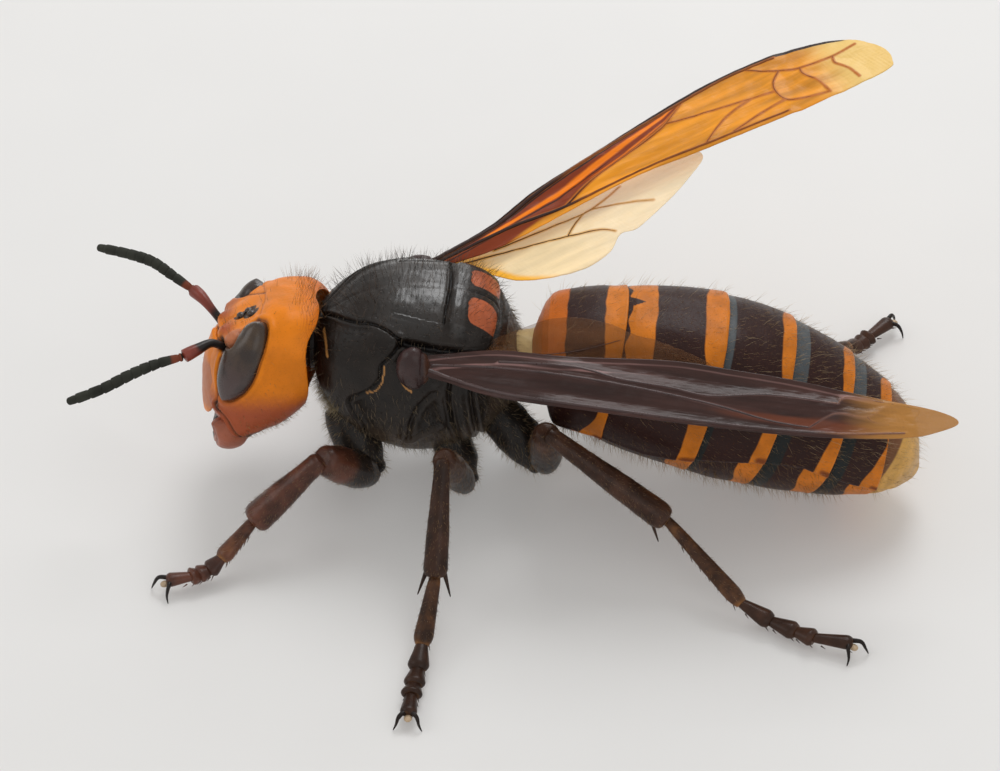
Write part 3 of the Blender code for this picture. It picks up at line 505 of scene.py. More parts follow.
class Wire:
    """A socket of a material; arithmetic on it adds Math nodes."""

    def __init__(self, paint, socket):
        self.paint, self.socket = paint, socket

    def maths(self, operation, *values):
        made = self.paint.node("Math", {"operation": operation}, dict(enumerate(values)))
        return Wire(self.paint, made.outputs[0])

    def __add__(self, other):
        return self.maths("ADD", self, other)

    def __sub__(self, other):
        return self.maths("SUBTRACT", self, other)

    def __mul__(self, other):
        return self.maths("MULTIPLY", self, other)

    def __rsub__(self, other):
        return self.maths("SUBTRACT", other, self)

    __radd__, __rmul__ = __add__, __mul__

    def between(self, low, high):
        """0 where the value is at low, 1 at high, and smooth between."""
        made = self.paint.node(
            "MapRange", {"interpolation_type": "SMOOTHSTEP"},
            {"Value": self, "From Min": low, "From Max": high},
        )
        return Wire(self.paint, made.outputs["Result"])


class Paint:
    """A material being made: its nodes and the shader that they feed."""

    def __init__(self, name):
        self.material = bpy.data.materials.new(name)
        self.material.use_nodes = True
        self.tree = self.material.node_tree
        self.shader = self.tree.nodes["Principled BSDF"]

    def node(self, kind, settings=None, sockets=None):
        made = self.tree.nodes.new("ShaderNode" + kind)
        for key, value in (settings or {}).items():
            setattr(made, key, value)
        for key, value in (sockets or {}).items():
            self.feed(made.inputs[key], value)
        return made

    def feed(self, socket, value):
        if isinstance(value, Wire):
            self.tree.links.new(value.socket, socket)
        elif socket.type == "RGBA":
            socket.default_value = (*value[:3], 1)
        else:
            socket.default_value = value

    def mark(self, name):
        return Wire(self, self.node("Attribute", {"attribute_name": name}).outputs["Fac"])

    def position(self):
        """Object coordinates in millimetres."""
        where = Wire(self, self.node("TexCoord").outputs["Object"])
        made = self.node("Mapping", None, {"Vector": where, "Scale": (1 / MM,) * 3})
        return Wire(self, made.outputs["Vector"])

    def noise(self, size, detail=3.0):
        sockets = {"Vector": self.position(), "Scale": 1 / size, "Detail": detail, "Roughness": 0.55}
        return Wire(self, self.node("TexNoise", None, sockets).outputs["Fac"])

    def streaks(self, size, detail=3.0, longer=9.0):
        """Noise drawn out along a blade, by its marks along and across, both in millimetres."""
        axes = {"X": self.mark("along") * (1 / longer), "Y": self.mark("across")}
        where = Wire(self, self.node("CombineXYZ", None, axes).outputs["Vector"])
        sockets = {"Vector": where, "Scale": 1 / size, "Detail": detail}
        return Wire(self, self.node("TexNoise", None, sockets).outputs["Fac"])

    def pits(self, size):
        sockets = {"Vector": self.position(), "Scale": 1 / size}
        return Wire(self, self.node("TexVoronoi", None, sockets).outputs["Distance"])

    def mix(self, factor, one, two):
        made = self.node("Mix", {"data_type": "RGBA"}, {0: factor, 6: one, 7: two})
        return Wire(self, made.outputs[2])

    def bump(self, height, strength, depth):
        sockets = {"Strength": strength, "Distance": depth * MM, "Height": height}
        made = self.node("Bump", None, sockets)
        self.feed(self.shader.inputs["Normal"], Wire(self, made.outputs["Normal"]))

    def set(self, **values):
        """Feeds the shader's inputs, named with _ for each space."""
        for name, value in values.items():
            self.feed(self.shader.inputs[name.replace("_", " ")], value)
        return self.material


def shade(colour, factor):
    """A colour made lighter or darker."""
    return tuple(min(1.0, part * factor) for part in colour)


# Finishes: roughness, size of its pits, depth of its relief, mottling, coat and shine; coat may name a mark
SHELLS = {
    "orange_chitin": (0.4, 0.16, 0.014, 0.12, 0.06, 0.18),
    "jaw_chitin": (0.36, 0.2, 0.015, 0.2, 0.15, 0.25),
    "shaft_chitin": (0.34, 0.1, 0.012, 0.3, 0.2, 0.25),
    "whip_chitin": (0.7, 0.06, 0.02, 0.35, 0.0, 0.2),
    "black_chitin": (0.36, 0.26, 0.032, 0.4, "gloss", 0.28),
    "cap_chitin": (0.3, 0.1, 0.02, 0.3, 0.2, 0.25),
    "pale_chitin": (0.42, 0.14, 0.02, 0.2, 0.1, 0.25),
    "banded_chitin": (0.38, 0.15, 0.022, 0.2, 0.05, 0.12),
    "tip_chitin": (0.4, 0.15, 0.025, 0.25, 0.1, 0.25),
    "front_leg_chitin": (0.34, 0.12, 0.022, 0.55, 0.25, 0.2),
    "mid_leg_chitin": (0.36, 0.12, 0.022, 0.5, 0.15, 0.15),
    "hind_leg_chitin": (0.36, 0.12, 0.022, 0.5, 0.15, 0.15),
    "coxa_chitin": (0.45, 0.12, 0.03, 0.35, 0.1, 0.25),
    "dark_vein": (0.3, 0.1, 0.01, 0.3, 0.2, 0.5),
    "brown_vein": (0.4, 0.1, 0.01, 0.3, 0.1, 0.25),
}


def shell(name, base, layers=()):
    """Chitin: mottled and pitted with painted shade in its pits, and a layer of colour wherever its mark
    is.
    """
    rough, pit, depth, mottle, coat, shine = SHELLS[name]
    paint = Paint(name)
    coat = paint.mark(coat) if isinstance(coat, str) else coat
    broad, fine, pits = paint.noise(1.6, 4), paint.noise(0.22, 3), paint.pits(pit)
    colour = paint.mix(broad.between(0.3, 0.7), shade(base, 1 - mottle), shade(base, 1 + mottle * 0.6))
    edge = (fine - 0.5) * 0.2 + (broad - 0.5) * 0.15
    for mark, tone in layers:
        mask = (paint.mark(mark) + edge).between(0.2, 0.8)
        dull, bright = shade(tone, 1 - mottle * 0.6), shade(tone, 1 + mottle * 0.4)
        toned = paint.mix(broad.between(0.3, 0.7), dull, bright)
        colour = paint.mix(mask, colour, toned)
    # Painted shade: the centre of each pit is darkened towards a third of the base colour.
    colour = paint.mix(pits.between(0.32, 0.0) * 0.3, colour, shade(base, 0.35))
    paint.set(Base_Color=colour, Roughness=fine * 0.25 + (rough - 0.12))
    paint.set(Coat_Weight=coat, Coat_Roughness=0.22, Specular_IOR_Level=shine)
    paint.bump(pits.between(0.0, 0.35) * 0.7 + fine * 0.6, 1.0, depth)
    return paint.material


# Bristles

ROOT_DEPTH = 0.04
FEWEST_BRISTLES = 50
PATCH = 0.003  # size of a bristle's patch on the OFBake map
# Coats: colour, full number of bristles, usual length, how upright they stand, thickness as a share of
# the setting, how far their tips droop, how unruly they are, and seed
COATS = {
    "nape_bristles": ("nape_hair", 210, 1.05, 0.95, 0.42, 0.1, 0.25, 22),
    "head_bristles": ("head_hair", 1300, 0.42, 0.75, 0.5, 0.3, 0.25, 21),
    "back_bristles": ("dark_hair", 900, 1.1, 0.92, 0.5, 0.15, 0.28, 31),
    "thorax_fuzz": ("fuzz", 5000, 0.16, 0.3, 0.4, 0.3, 0.25, 33),
    "belly_hair": ("gold_hair", 4200, 0.7, 0.5, 0.5, 0.3, 0.3, 32),
    "breast_hair": ("breast_hair", 1500, 0.8, 0.85, 0.5, 0.2, 0.3, 34),
    "abdomen_bristles": ("abdomen_hair", 5200, 0.42, 0.35, 0.36, 0.2, 0.15, 41),
    "abdomen_long_hair": ("abdomen_hair", 2200, 0.85, 0.75, 0.45, 0.3, 0.25, 42),
    "abdomen_setae": ("abdomen_seta", 620, 1.05, 0.62, 0.42, 0.5, 0.22, 43),
    "leg_bristles": ("leg_hair", 12000, 0.3, 0.5, 0.42, 0.2, 0.2, 51),
    "hip_bristles": ("hip_hair", 3000, 0.62, 0.7, 0.5, 0.2, 0.25, 52),
}
# Each coat colour's darkest and lightest tone
HAIR_TONES = {
    "nape_hair": ((0.035, 0.016, 0.008), (0.28, 0.13, 0.045)),
    "head_hair": ((0.05, 0.025, 0.012), (0.42, 0.22, 0.07)),
    "dark_hair": ((0.010, 0.007, 0.005), (0.10, 0.06, 0.035)),
    "fuzz": ((0.02, 0.014, 0.010), (0.14, 0.10, 0.07)),
    "gold_hair": ((0.045, 0.034, 0.022), (0.25, 0.185, 0.11)),
    "breast_hair": ((0.10, 0.075, 0.04), (0.42, 0.34, 0.20)),
    "abdomen_hair": ((0.06, 0.033, 0.018), (0.42, 0.26, 0.11)),
    "abdomen_seta": ((0.10, 0.055, 0.03), (0.55, 0.40, 0.22)),
    "leg_hair": ((0.04, 0.022, 0.012), (0.34, 0.20, 0.09)),
    "hip_hair": ((0.09, 0.065, 0.035), (0.40, 0.31, 0.18)),
}


def hair_shape():
    """One bristle of height 1, three-sided, with a ring at its middle."""
    bm = bmesh.new()
    bmesh.ops.create_cone(bm, segments=3, radius1=1, radius2=0, depth=1, cap_ends=True)
    bmesh.ops.remove_doubles(bm, verts=bm.verts, dist=1e-6)
    bmesh.ops.translate(bm, vec=(0, 0, 0.5), verts=bm.verts)
    geometry = [*bm.verts, *bm.edges, *bm.faces]
    bmesh.ops.bisect_plane(bm, geom=geometry, dist=1e-6, plane_co=(0, 0, 0.5), plane_no=(0, 0, 1))
    for vert in bm.verts:
        if abs(vert.co.z - 0.5) < 0.01:
            vert.co.x, vert.co.y = vert.co.x * 1.5, vert.co.y * 1.5
    return Form.of(bm)


def coat_colour(name):
    """Hair: each bristle has its own tone, and its tip is lighter; coats may share a colour."""
    if name in bpy.data.materials:
        return bpy.data.materials[name]
    dark, light = HAIR_TONES[name]
    paint = Paint(name)
    colour = paint.mix(paint.mark("tone"), dark, light)
    colour = paint.mix(paint.mark("tip") * 0.5, colour, shade(light, 1.4))
    return paint.set(Base_Color=colour, Roughness=paint.noise(0.3) * 0.2 + 0.35)


def grow(name, skin, density, lean, slot):
    """A coat rooted on a skin; density gives the share that grows at each place, lean the way it lies."""
    tone, full, length, stand, thick, droop, spread, seed = COATS[name]
    settings = bpy.context.scene.hornet_coat
    rng = np.random.default_rng(seed + settings.seed)
    count = max(FEWEST_BRISTLES, int(full * settings.density))
    starts = np.cumsum(skin.sizes) - skin.sizes
    quads = skin.corners[starts[skin.sizes == 4][:, None] + np.arange(4)]
    corners = skin.points[quads]
    cross = np.cross(corners[:, 2] - corners[:, 0], corners[:, 3] - corners[:, 1])
    middle = corners.mean(axis=1)
    weight = np.linalg.norm(cross, axis=1) * np.clip(density(middle, unit(cross)), 0, None)
    picked = rng.choice(len(quads), count, p=weight / weight.sum())
    u, v = rng.uniform(size=(2, count, 1))
    a, b, c, d = (corners[picked, corner] for corner in range(4))
    root = (a * (1 - u) + b * u) * (1 - v) + (d * (1 - u) + c * u) * v
    normal = unit(cross[picked])
    lean = np.asarray(lean(root) if callable(lean) else lean)
    lean = unit(lean - normal * np.sum(lean * normal, axis=1, keepdims=True))
    jitter = rng.normal(size=(count, 3)) * spread
    direction = unit(normal * stand + lean * (1 - stand) + jitter * 0.6)
    tip_way = unit(direction + lean * droop + jitter * 0.5)
    reach = length * rng.uniform(0.6, 1.25, count)
    width = settings.thickness * thick * rng.uniform(0.7, 1.2, count)
    side = unit(np.cross(direction, unit(rng.normal(size=(count, 3)))))
    other = np.cross(direction, side)
    one = hair_shape()
    px, py, pz = one.points.T
    along = pz[None, :, None] * reach[:, None, None]
    bent = direction[:, None] * (1 - pz[None, :, None] * 0.5) + tip_way[:, None] * pz[None, :, None] * 0.5
    points = (
        (root - normal * ROOT_DEPTH)[:, None] + bent * along
        + side[:, None] * (px[None, :, None] * width[:, None, None])
        + other[:, None] * (py[None, :, None] * width[:, None, None])
    )
    offsets = (np.arange(count) * len(one.points))[:, None]
    coat = Form(points.reshape(-1, 3), (one.corners[None] + offsets).ravel(), np.tile(one.sizes, count))
    coat.facing_out()
    coat.marked(tone=np.repeat(rng.uniform(size=count), len(one.points)), tip=np.tile(pz, count))
    patch = np.stack((px / 3, pz - 0.5), 1) * PATCH
    coat.map = (skin.unwrap[quads[picked, 0]][:, None] + patch[None]).reshape(-1, 2)
    show(name, coat, [coat_colour(tone)], slot)


def even(points, normal):
    """The density of a coat that is the same everywhere."""
    return np.ones(len(points))


# Settings

def swatch(name, description, default):
    return FloatVectorProperty(
        name=name, description=description, subtype="COLOR", size=3, min=0, max=1, default=default,
    )


class HornetColours(bpy.types.PropertyGroup):
    """Colours of the shell, the bands and the wings."""

    orange: swatch("Head orange", "Orange of the head", (0.78, 0.215, 0.006))
    # Painted shade: this darker orange stands for the shade on the rear of the head and in the hollow
    # behind it.
    shaded_orange: swatch("Deep orange", "Orange of the rear of the head", (0.56, 0.120, 0.004))
    face_red: swatch("Face red", "Reddish brown of the lower cheeks", (0.37, 0.082, 0.030))
    black: swatch("Thorax black", "Black-brown of the thorax", (0.0135, 0.0092, 0.0068))
    band: swatch("Dark band", "Dark brown bands of the abdomen", (0.030, 0.0115, 0.0095))
    band_orange: swatch("Orange band", "Orange bands of the abdomen", (0.61, 0.178, 0.013))
    leg_brown: swatch("Leg brown", "Brown of the legs", (0.055, 0.024, 0.014))
    amber: swatch("Wing amber", "Amber of the wing membrane", (0.68, 0.26, 0.012))


class HornetCoat(bpy.types.PropertyGroup):
    """Numbers and thickness of the bristles."""

    density: FloatProperty(
        name="Density", description="Share of the full number of bristles", default=1.0, min=0.05, max=1.0,
    )
    thickness: FloatProperty(
        name="Thickness", description="Radius of a bristle at its root, in millimetres", default=0.022,
        min=0.005, max=0.1,
    )
    seed: IntProperty(name="Seed", description="Picks where the bristles grow", default=7, min=0)


class HornetStudio(bpy.types.PropertyGroup):
    """Lamps and floor."""

    key: FloatProperty(
        name="Key light", description="Power of the large light above and behind", default=0.32, min=0,
        unit="POWER",
    )
    fill: FloatProperty(
        name="Fill", description="Strength of the light from all round", default=0.61, min=0
    )
    floor: swatch("Floor", "Colour of the floor", (0.655, 0.65, 0.641))
    glow: FloatProperty(
        name="Floor glow", description="How brightly the floor is lit through from below", default=0.14,
        min=0, max=1,
    )


def colour(name):
    """One of the colours in the settings."""
    return tuple(getattr(bpy.context.scene.hornet_colours, name))


# Head

def eye_outline():
    """The eye's edge as (up, back) about its centre."""
    rows = spline(EYE, np.linspace(0, 1, 60))
    return np.concatenate((np.stack((rows[:, 0], -rows[:, 1]), 1), rows[::-1, ::2]))


def past_outline(points, outline):
    """Distance from an outline in its plane, negative inside it."""
    distance = np.full(len(points), 1e9)
    inside = np.zeros(len(points), bool)
    for start, end in zip(outline, np.roll(outline, -1, axis=0)):
        run = end - start
        share = np.clip((points - start) @ run / max(run @ run, 1e-12), 0, 1)
        distance = np.minimum(distance, np.linalg.norm(points - start - share[:, None] * run, axis=1))
        crosses = (start[1] > points[:, 1]) != (end[1] > points[:, 1])
        rise = (points[:, 1] - start[1]) / np.where(end[1] == start[1], 1e-9, end[1] - start[1])
        inside ^= crosses & (points[:, 0] < start[0] + rise * run[0])
    return np.where(inside, -distance, distance)


def head_skin():
    """The bare head in its own frame."""
    def shape(place, turn):
        z, width, front, back = spline(HEAD, place).T
        across, along = oval(turn, 2.5, 2.9)
        y = (front + back) / 2 - along * (back - front) / 2
        return np.stack((across * width, y, z), 1)

    return grown(220, 260, shape)


# Lines on the head in its own frame; the first three are on both sides
SUTURE = (
    (0, -3.6, 0.75), (0.9, -3.5, 0.7), (1.7, -3.3, 0.55), (2.4, -3.05, 0.5), (2.85, -2.9, 0.35),
    (3.24, -3.09, -0.25), (3.4, -3.23, -1.16), (3.41, -3.3, -2.25), (3.23, -3.45, -3.12),
    (3.02, -3.56, -3.41), (3.55, -3.22, -3.68),
)
CHEEK_GROOVE = (
    (3.02, -3.56, -3.41), (3.55, -3.22, -3.68), (3.87, -2.9, -4.0), (3.88, -2.22, -4.71), (3.4, -1.5, -5.2),
)
FEELER_SOCKET = ((1.9, -3.15, 0.62), (2.5, -2.98, 0.5), (2.95, -2.78, 0.3))
CROWN_SEAM = (
    (3.12, -0.66, 2.24), (2.08, -0.56, 2.55), (0.86, -0.38, 2.75), (-1.0, -0.17, 2.86), (-3.0, -0.31, 2.47),
)
FROWN = ((-2.9, -1.45, 1.83), (-0.84, -0.31, 2.79))
BROW_LINE = ((0, -2.0, 2.0), (0, -3.0, 1.2), (0, -3.5, 0.7))
# Small eyes on the crown, as (across, along) seen from above
SMALL_EYES = ((0.38, -1.69), (1.0, -1.05), (0.2, -1.22))


def shape_head(form):
    """Eye rims, grooves and wrinkles, and the marks that colour them."""
    p = form.points
    form.push(-0.35 * near(p, (0.4, -1.3, 2.3), (1.9, 1.2, 1.4)))
    p = form.points
    fold = p * (np.where(p[:, :1] < 0, -1, 1) * (1, 0, 0) + (0, 1, 1))
    offset = fold - EYE_CENTRE
    flat = np.stack((offset @ EYE_UP, offset @ EYE_BACK), 1)
    notch = NOTCH_RADIUS - np.linalg.norm(flat - NOTCH_CENTRE, axis=1)
    beside = np.maximum(past_outline(flat, eye_outline()), notch)
    facing = ease(offset @ EYE_OUT, -1.6, -0.9)
    suture, cheek, socket = (away(fold, line) for line in (SUTURE, CHEEK_GROOVE, FEELER_SOCKET))
    crown, frown, brow = (away(p, line) for line in (CROWN_SEAM, FROWN, BROW_LINE))
    wrinkled = hump(p[:, 1] - 2.35, 0.5) * ease(p[:, 2], -2.0, 0.5)
    wrinkles = wrinkled * np.sin((p[:, 1] + 0.05 * np.sin(p[:, 0] * 5) + 0.04 * np.sin(p[:, 2] * 7)) * 34)
    rise = -0.55 * ease(-beside, 0.05, 0.5) * facing
    rise -= 0.16 * hump(beside - 0.02, 0.1) * facing
    rise += 0.08 * hump(beside - 0.3, 0.17) * facing
    beside_socket, cheek_corner = (
        near(fold, (3.0, -2.2, 1.1), (0.6, 0.65, 0.6)), near(fold, (3.7, -1.9, -5.0), (0.9, 1.1, 0.8))
    )
    rise += 0.34 * beside_socket + 0.5 * cheek_corner
    rise -= 0.22 * hump(suture, 0.12)
    rise -= 0.22 * hump(cheek, 0.1) - 0.08 * hump(cheek - 0.24, 0.1)
    rise -= 0.07 * hump(crown, 0.09) + 0.06 * hump(frown, 0.1)
    rise -= 0.1 * hump(brow, 0.1)
    rise += 0.3 * near(fold, (1.3, -3.15, 1.0), (0.75, 0.8, 0.42))
    rise -= 0.5 * hump(socket, 0.26)
    rise -= 0.12 * near(fold, (2.6, -1.6, 1.7), (0.8, 0.9, 0.6))
    rise += 0.012 * wrinkles
    rise += 0.02 * ripples(p, 1.3, 3) + 0.006 * ripples(p, 0.4, 5)
    form.push(rise)
    beads = np.min([np.linalg.norm(p[:, :2] - bead, axis=1) for bead in SMALL_EYES], axis=0)
    low = np.clip((-p[:, 2] - 0.9) / 3.4, 0, 1)
    form.marked(
        # The first mark is painted shade: darker orange towards the rear of the head, where it falls away
        # to the neck, and along the wrinkles there.
        deep=np.clip((p[:, 1] - 1.2) / 3.2, 0, 1) * 0.9 + 0.25 * wrinkles,
        red=low * ease(p[:, 1], 4.6, 2.2) + 0.45 * near(fold, (1.4, -3.0, 1.1), (1.1, 0.9, 0.6))
        + 0.35 * ease(-p[:, 1], 1.2, 2.4) * ease(p[:, 2], 0.6, 1.2),
        pink=near(fold, (3.0, -2.25, 1.1), (0.75, 0.75, 0.7)) * 1.7,
        seam=0.9 * hump(suture, 0.13) + 0.45 * hump(crown, 0.13)
        + 0.95 * hump(cheek, 0.12) + 0.6 * hump(frown, 0.13)
        + 0.55 * hump(beside - 0.08, 0.12) * facing,
        dark=1.2 * ease(-beads, -0.6, -0.38) * ease(p[:, 2], 0, 1) + 1.3 * hump(socket, 0.3)
        + 0.9 * near(fold, (3.25, -3.4, -3.35), (0.4, 0.4, 0.45))
        + 0.8 * ease(-p[:, 2], 4.55, 5.0) * ease(p[:, 1], -2.6, -1.6),
    )
    return form


# Face plate: (place down its length, half width), and how far forward it is at equal steps
PLATE_WIDTHS = (
    (0, 0.02), (0.03, 0.8), (0.1, 1.7), (0.25, 2.6), (0.55, 3.15), (0.75, 2.75), (0.88, 2.0), (0.96, 1.1),
    (1, 0.02),
)
PLATE_FRONT = ((-3.45,), (-3.8,), (-4.05,), (-4.15,), (-4.2,), (-4.1,))


def face_plate():
    """The shield over the lower face, whose tip stands free."""
    def shape(place, turn):
        width = np.interp(place, *np.array(PLATE_WIDTHS).T)
        front = spline(PLATE_FRONT, place)[:, 0]
        across, along = oval(turn, 2.3)
        x = across * width
        return np.stack((x, front + 0.085 * x**2 - along * 0.17, 0.62 - 5.5 * place), 1)

    form = grown(120, 90, shape)
    x, _, z = form.points.T
    swelling = near(form.points * (0, 0, 1), (0, 0, -1.6), (9, 9, 1.2))
    form.push(0.02 * ripples(form.points, 0.9, 12) + 0.05 * swelling)
    form.marked(
        pink=ease(-z, 0.2, 1.6) * ease(z, -4.9, -3.4) * 0.9, red=0.25,
        seam=0.8 * ease(np.abs(x), 2.5, 3.1) * ease(-z, 1.0, 2.4),
    )
    return form


def hollow_out(form):
    """Presses what lies in the hollow behind the head on to the hollow's wall, and marks painted shade
    there.
    """
    p = form.points
    local = (p - HOLLOW_CENTRE) / HOLLOW_SIZES
    local[:, 2] *= np.abs(local[:, 2])  # squarer at its top and bottom
    depth = 1 - np.sum(local**2, axis=1)
    reach = np.sqrt(np.clip(1 - local[:, 0] ** 2 - local[:, 2] ** 2, 0, 1))
    wall = HOLLOW_CENTRE[1] - HOLLOW_SIZES[1] * reach
    p[:, 1] = np.where(depth > 0, wall, p[:, 1])
    # Painted shade: the hollow's wall takes the darker rear orange.
    form.marks["deep"] = np.maximum(form.marks["deep"], ease(depth, -0.1, 0.1))
    # Painted shade: the deepest part of the hollow is darkened.
    form.marks["dark"] = np.maximum(form.marks["dark"], 0.3 * ease(depth, 0.85, 1.0))
    return form


def eye_skin(side):
    """A glossy dome with a round notch pressed into its front edge."""
    def shape(place, turn):
        height, front, rear = spline(EYE, place).T
        swell = np.sqrt(np.clip(1 - (height / 3.1) ** 2, 0.05, 1))
        swell = swell * np.sqrt(np.clip(1 - (2 * place - 1) ** 40, 0, 1))
        across, along = oval(turn, 2.1)
        behind = (rear - front) / 2 + across * np.maximum(rear + front, 0.0) / 2
        notch = NOTCH_RADIUS - np.hypot(height - NOTCH_CENTRE[0], behind - NOTCH_CENTRE[1])
        out = np.where(along > 0, EYE_BULGE, EYE_DEPTH) * swell * along - 1.5 * ease(notch, -0.1, 0.3)
        return EYE_CENTRE + EYE_UP * height[:, None] + EYE_BACK * behind[:, None] + EYE_OUT * out[:, None]

    form = grown(130, 150, shape)
    offset = form.points - EYE_CENTRE
    form.marked(lift=offset @ EYE_UP / 5.6 + 0.5, rim=ease(offset @ EYE_OUT, 0.35, 0.1))
    return form.placed(HEAD_PLACE @ Matrix.Diagonal((side, 1, 1, 1)))


def jaw_skin(side):
    """A mandible with a groove along it, darkened with painted shade, and a dark tip."""
    form = swept(
        JAW_ROUTE, lambda at: 0.78 - 0.42 * at**2.2, lambda at: 1.3 - 0.95 * at**1.6, Y, 48, 90, 0.12
    )
    groove = hump(np.cos(form.turn) - 0.35, 0.16)
    form.push(-0.09 * groove * ease(form.marks["at"], 0.0, 0.2) + 0.015 * ripples(form.points, 0.5, 11))
    # The dark mark is the real dark tip and, at half strength, painted shade along the groove.
    form.marked(dark=ease(form.marks["at"], 0.62, 0.9) + 0.5 * groove)
    return form.placed(HEAD_PLACE @ Matrix.Diagonal((side, 1, 1, 1)))


def ball(centre, sizes, around=24, rows=16):
    """A sphere stretched to half sizes."""
    bm = bmesh.new()
    bmesh.ops.create_uvsphere(bm, u_segments=around, v_segments=rows, radius=1)
    bmesh.ops.scale(bm, vec=sizes, verts=bm.verts)
    bmesh.ops.translate(bm, vec=centre, verts=bm.verts)
    return Form.of(bm)


def eye_material():
    """Dark gloss, browner low down and darker at the rim; the small eyes share it."""
    paint = Paint("eye_lacquer")
    lift = paint.mark("lift")
    tone = paint.mix(lift.between(0.2, 0.7), (0.060, 0.034, 0.032), (0.055, 0.030, 0.013))
    tone = paint.mix(paint.noise(1.4, 3).between(0.4, 0.7) * 0.8, tone, (0.016, 0.008, 0.007))
    tone = paint.mix(paint.mark("rim") * 0.7, tone, (0.02, 0.01, 0.008))
    paint.set(Base_Color=tone, Roughness=paint.noise(0.4) * 0.1 + 0.22)
    paint.set(Coat_Weight=0.25, Coat_Roughness=0.1)
    paint.bump(paint.pits(0.035), 0.25, 0.01)
    return paint.material


class HORNET_OT_head(bpy.types.Operator):
    """Model the head with its eyes, jaws and the three small eyes on its crown"""

    bl_idname = "hornet.head"
    bl_label = "Head"

    def execute(self, context):
        shaped = shape_head(head_skin())
        crown = shaped.points[shaped.points[:, 2] > 0]
        perches = [crown[np.argmin(np.linalg.norm(crown[:, :2] - bead, axis=1))] for bead in SMALL_EYES]
        skin = hollow_out(shaped.placed(HEAD_PLACE))
        layers = (
            # The first layer paints shade: a darker orange on the rear of the head and on the hollow's
            # wall.
            ("deep", colour("shaded_orange")), ("red", colour("face_red")), ("pink", (0.50, 0.17, 0.075)),
            ("seam", (0.17, 0.050, 0.018)), ("dark", (0.022, 0.011, 0.009)),
        )
        finish = shell("orange_chitin", colour("orange"), layers)
        show("head_skin", [skin, face_plate().placed(HEAD_PLACE)], [finish], "orange_shell", ("head",))
        glossy = eye_material()
        jaw_finish = shell("jaw_chitin", (0.36, 0.105, 0.055), (("dark", (0.035, 0.014, 0.010)),))
        for side, sign in SIDES.items():
            show(f"eye_dome_{side}", eye_skin(sign), [glossy], "eye", (f"eye_{side}",))
            show(f"jaw_{side}", jaw_skin(sign), [jaw_finish], "red_brown_shell", (f"mandible_{side}",))
        beads = [ball(perch, (0.3, 0.3, 0.24)).marked(lift=0.5).placed(HEAD_PLACE) for perch in perches]
        show("small_eyes", beads, [glossy], "eye")
        self.hair(skin)
        return {"FINISHED"}

    def hair(self, skin):
        inverse = np.array(HEAD_PLACE.inverted())

        def local(points):
            return points @ inverse[:3, :3].T + inverse[:3, 3]

        def nape(points, normal):
            p = local(points)
            crown = near(p, (0.3, -0.7, 2.6), (0.9, 0.6, 0.8))
            return hump(p[:, 1] - 2.6, 0.8) * ease(p[:, 2], 1.4, 2.8) + 0.5 * crown

        def short(points, normal):
            p = local(points)
            low = ease(-p[:, 2], 3.0, 4.6) * ease(p[:, 1], -2.5, -1.5) * 1.2
            brow = near(p, (0.8, -2.3, 1.6), (1.9, 1.1, 0.8)) * 0.8
            return np.where(p[:, 1] > 3.6, 0.0, low + brow + 0.6 * hump(p[:, 1] - 3.0, 0.6) + 0.03)

        lean = (0.0, 0.6, -0.5)
        grow("nape_bristles", skin, nape, lean, "orange_shell")
        grow("head_bristles", skin, short, lean, "orange_shell")


WHIP_JOINTS = (0.05, 0.17, *[0.78 / 9] * 9)  # lengths, as shares of the whip
# The whip's radius: (place, radius)
WHIP_SHAPE = ((0, 0.28), (0.06, 0.26), (0.16, 0.3), (0.3, 0.35), (0.6, 0.37), (0.9, 0.32), (1.0, 0.22))


def jointed_whip(route):
    """The whip's joints, each a little wider at its far end, in one skin."""
    ends = np.cumsum([0.0, *WHIP_JOINTS])
    ends = ends / ends[-1]

    def width(at):
        joint = np.clip(np.searchsorted(ends, at, side="right") - 1, 0, len(ends) - 2)
        inside = (at - ends[joint]) / (ends[joint + 1] - ends[joint])
        waist = 0.13 * hump(inside, 0.1) + 0.1 * hump(1 - inside, 0.06)
        return np.interp(at, *np.array(WHIP_SHAPE).T) * (1 - waist + 0.1 * (inside - 0.5))

    form = swept(route, width, None, Z, 36, 420, 0.03)
    at = form.marks["at"]
    blotches = 0.2 * ripples(form.points, 1.2, 6) * ease(at, 0.3, 0.1)
    return form.marked(red=0.75 * ease(at, 0.16, 0.1) * ease(at, 0.0, 0.04) + blotches)


class HORNET_OT_feelers(bpy.types.Operator):
    """Model the shaft and the jointed whip of both feelers"""

    bl_idname = "hornet.feelers"
    bl_label = "Feelers"

    def execute(self, context):
        shaft_finish = shell("shaft_chitin", (0.22, 0.042, 0.026), (("dark", (0.012, 0.009, 0.008)),))
        whip_finish = shell("whip_chitin", (0.030, 0.031, 0.024), (("red", (0.20, 0.050, 0.025)),))

        def width(at):
            return 0.27 + 0.17 * ease(at, 0.25, 0.9) - 0.12 * ease(at, 0.94, 1.0)

        # How far up each shaft its dark root reaches, and how dark its bend is
        for side, root, bend in (("left", 0.62, 0.0), ("right", 0.3, 0.45)):
            shaft = swept(SCAPES[side], width, None, Z, 40, 110, 0.05)
            at, upper = shaft.marks["at"], shaft.normals()[:, 2]
            bent = bend * near(shaft.points, SCAPES[side][2], (0.5, 0.5, 0.5))
            shaft.marked(dark=ease(at, root + 0.2, root - 0.1) * (0.75 + 0.3 * upper) + bent)
            node = f"antenna_scape_{side}"
            show(f"feeler_shaft_{side}", shaft, [shaft_finish], "dark_brown_shell", (node,))
            whip, node = jointed_whip(WHIPS[side]), f"antenna_flagellum_{side}"
            show(f"feeler_whip_{side}", whip, [whip_finish], "black_shell", (node,))
        return {"FINISHED"}


# Thorax

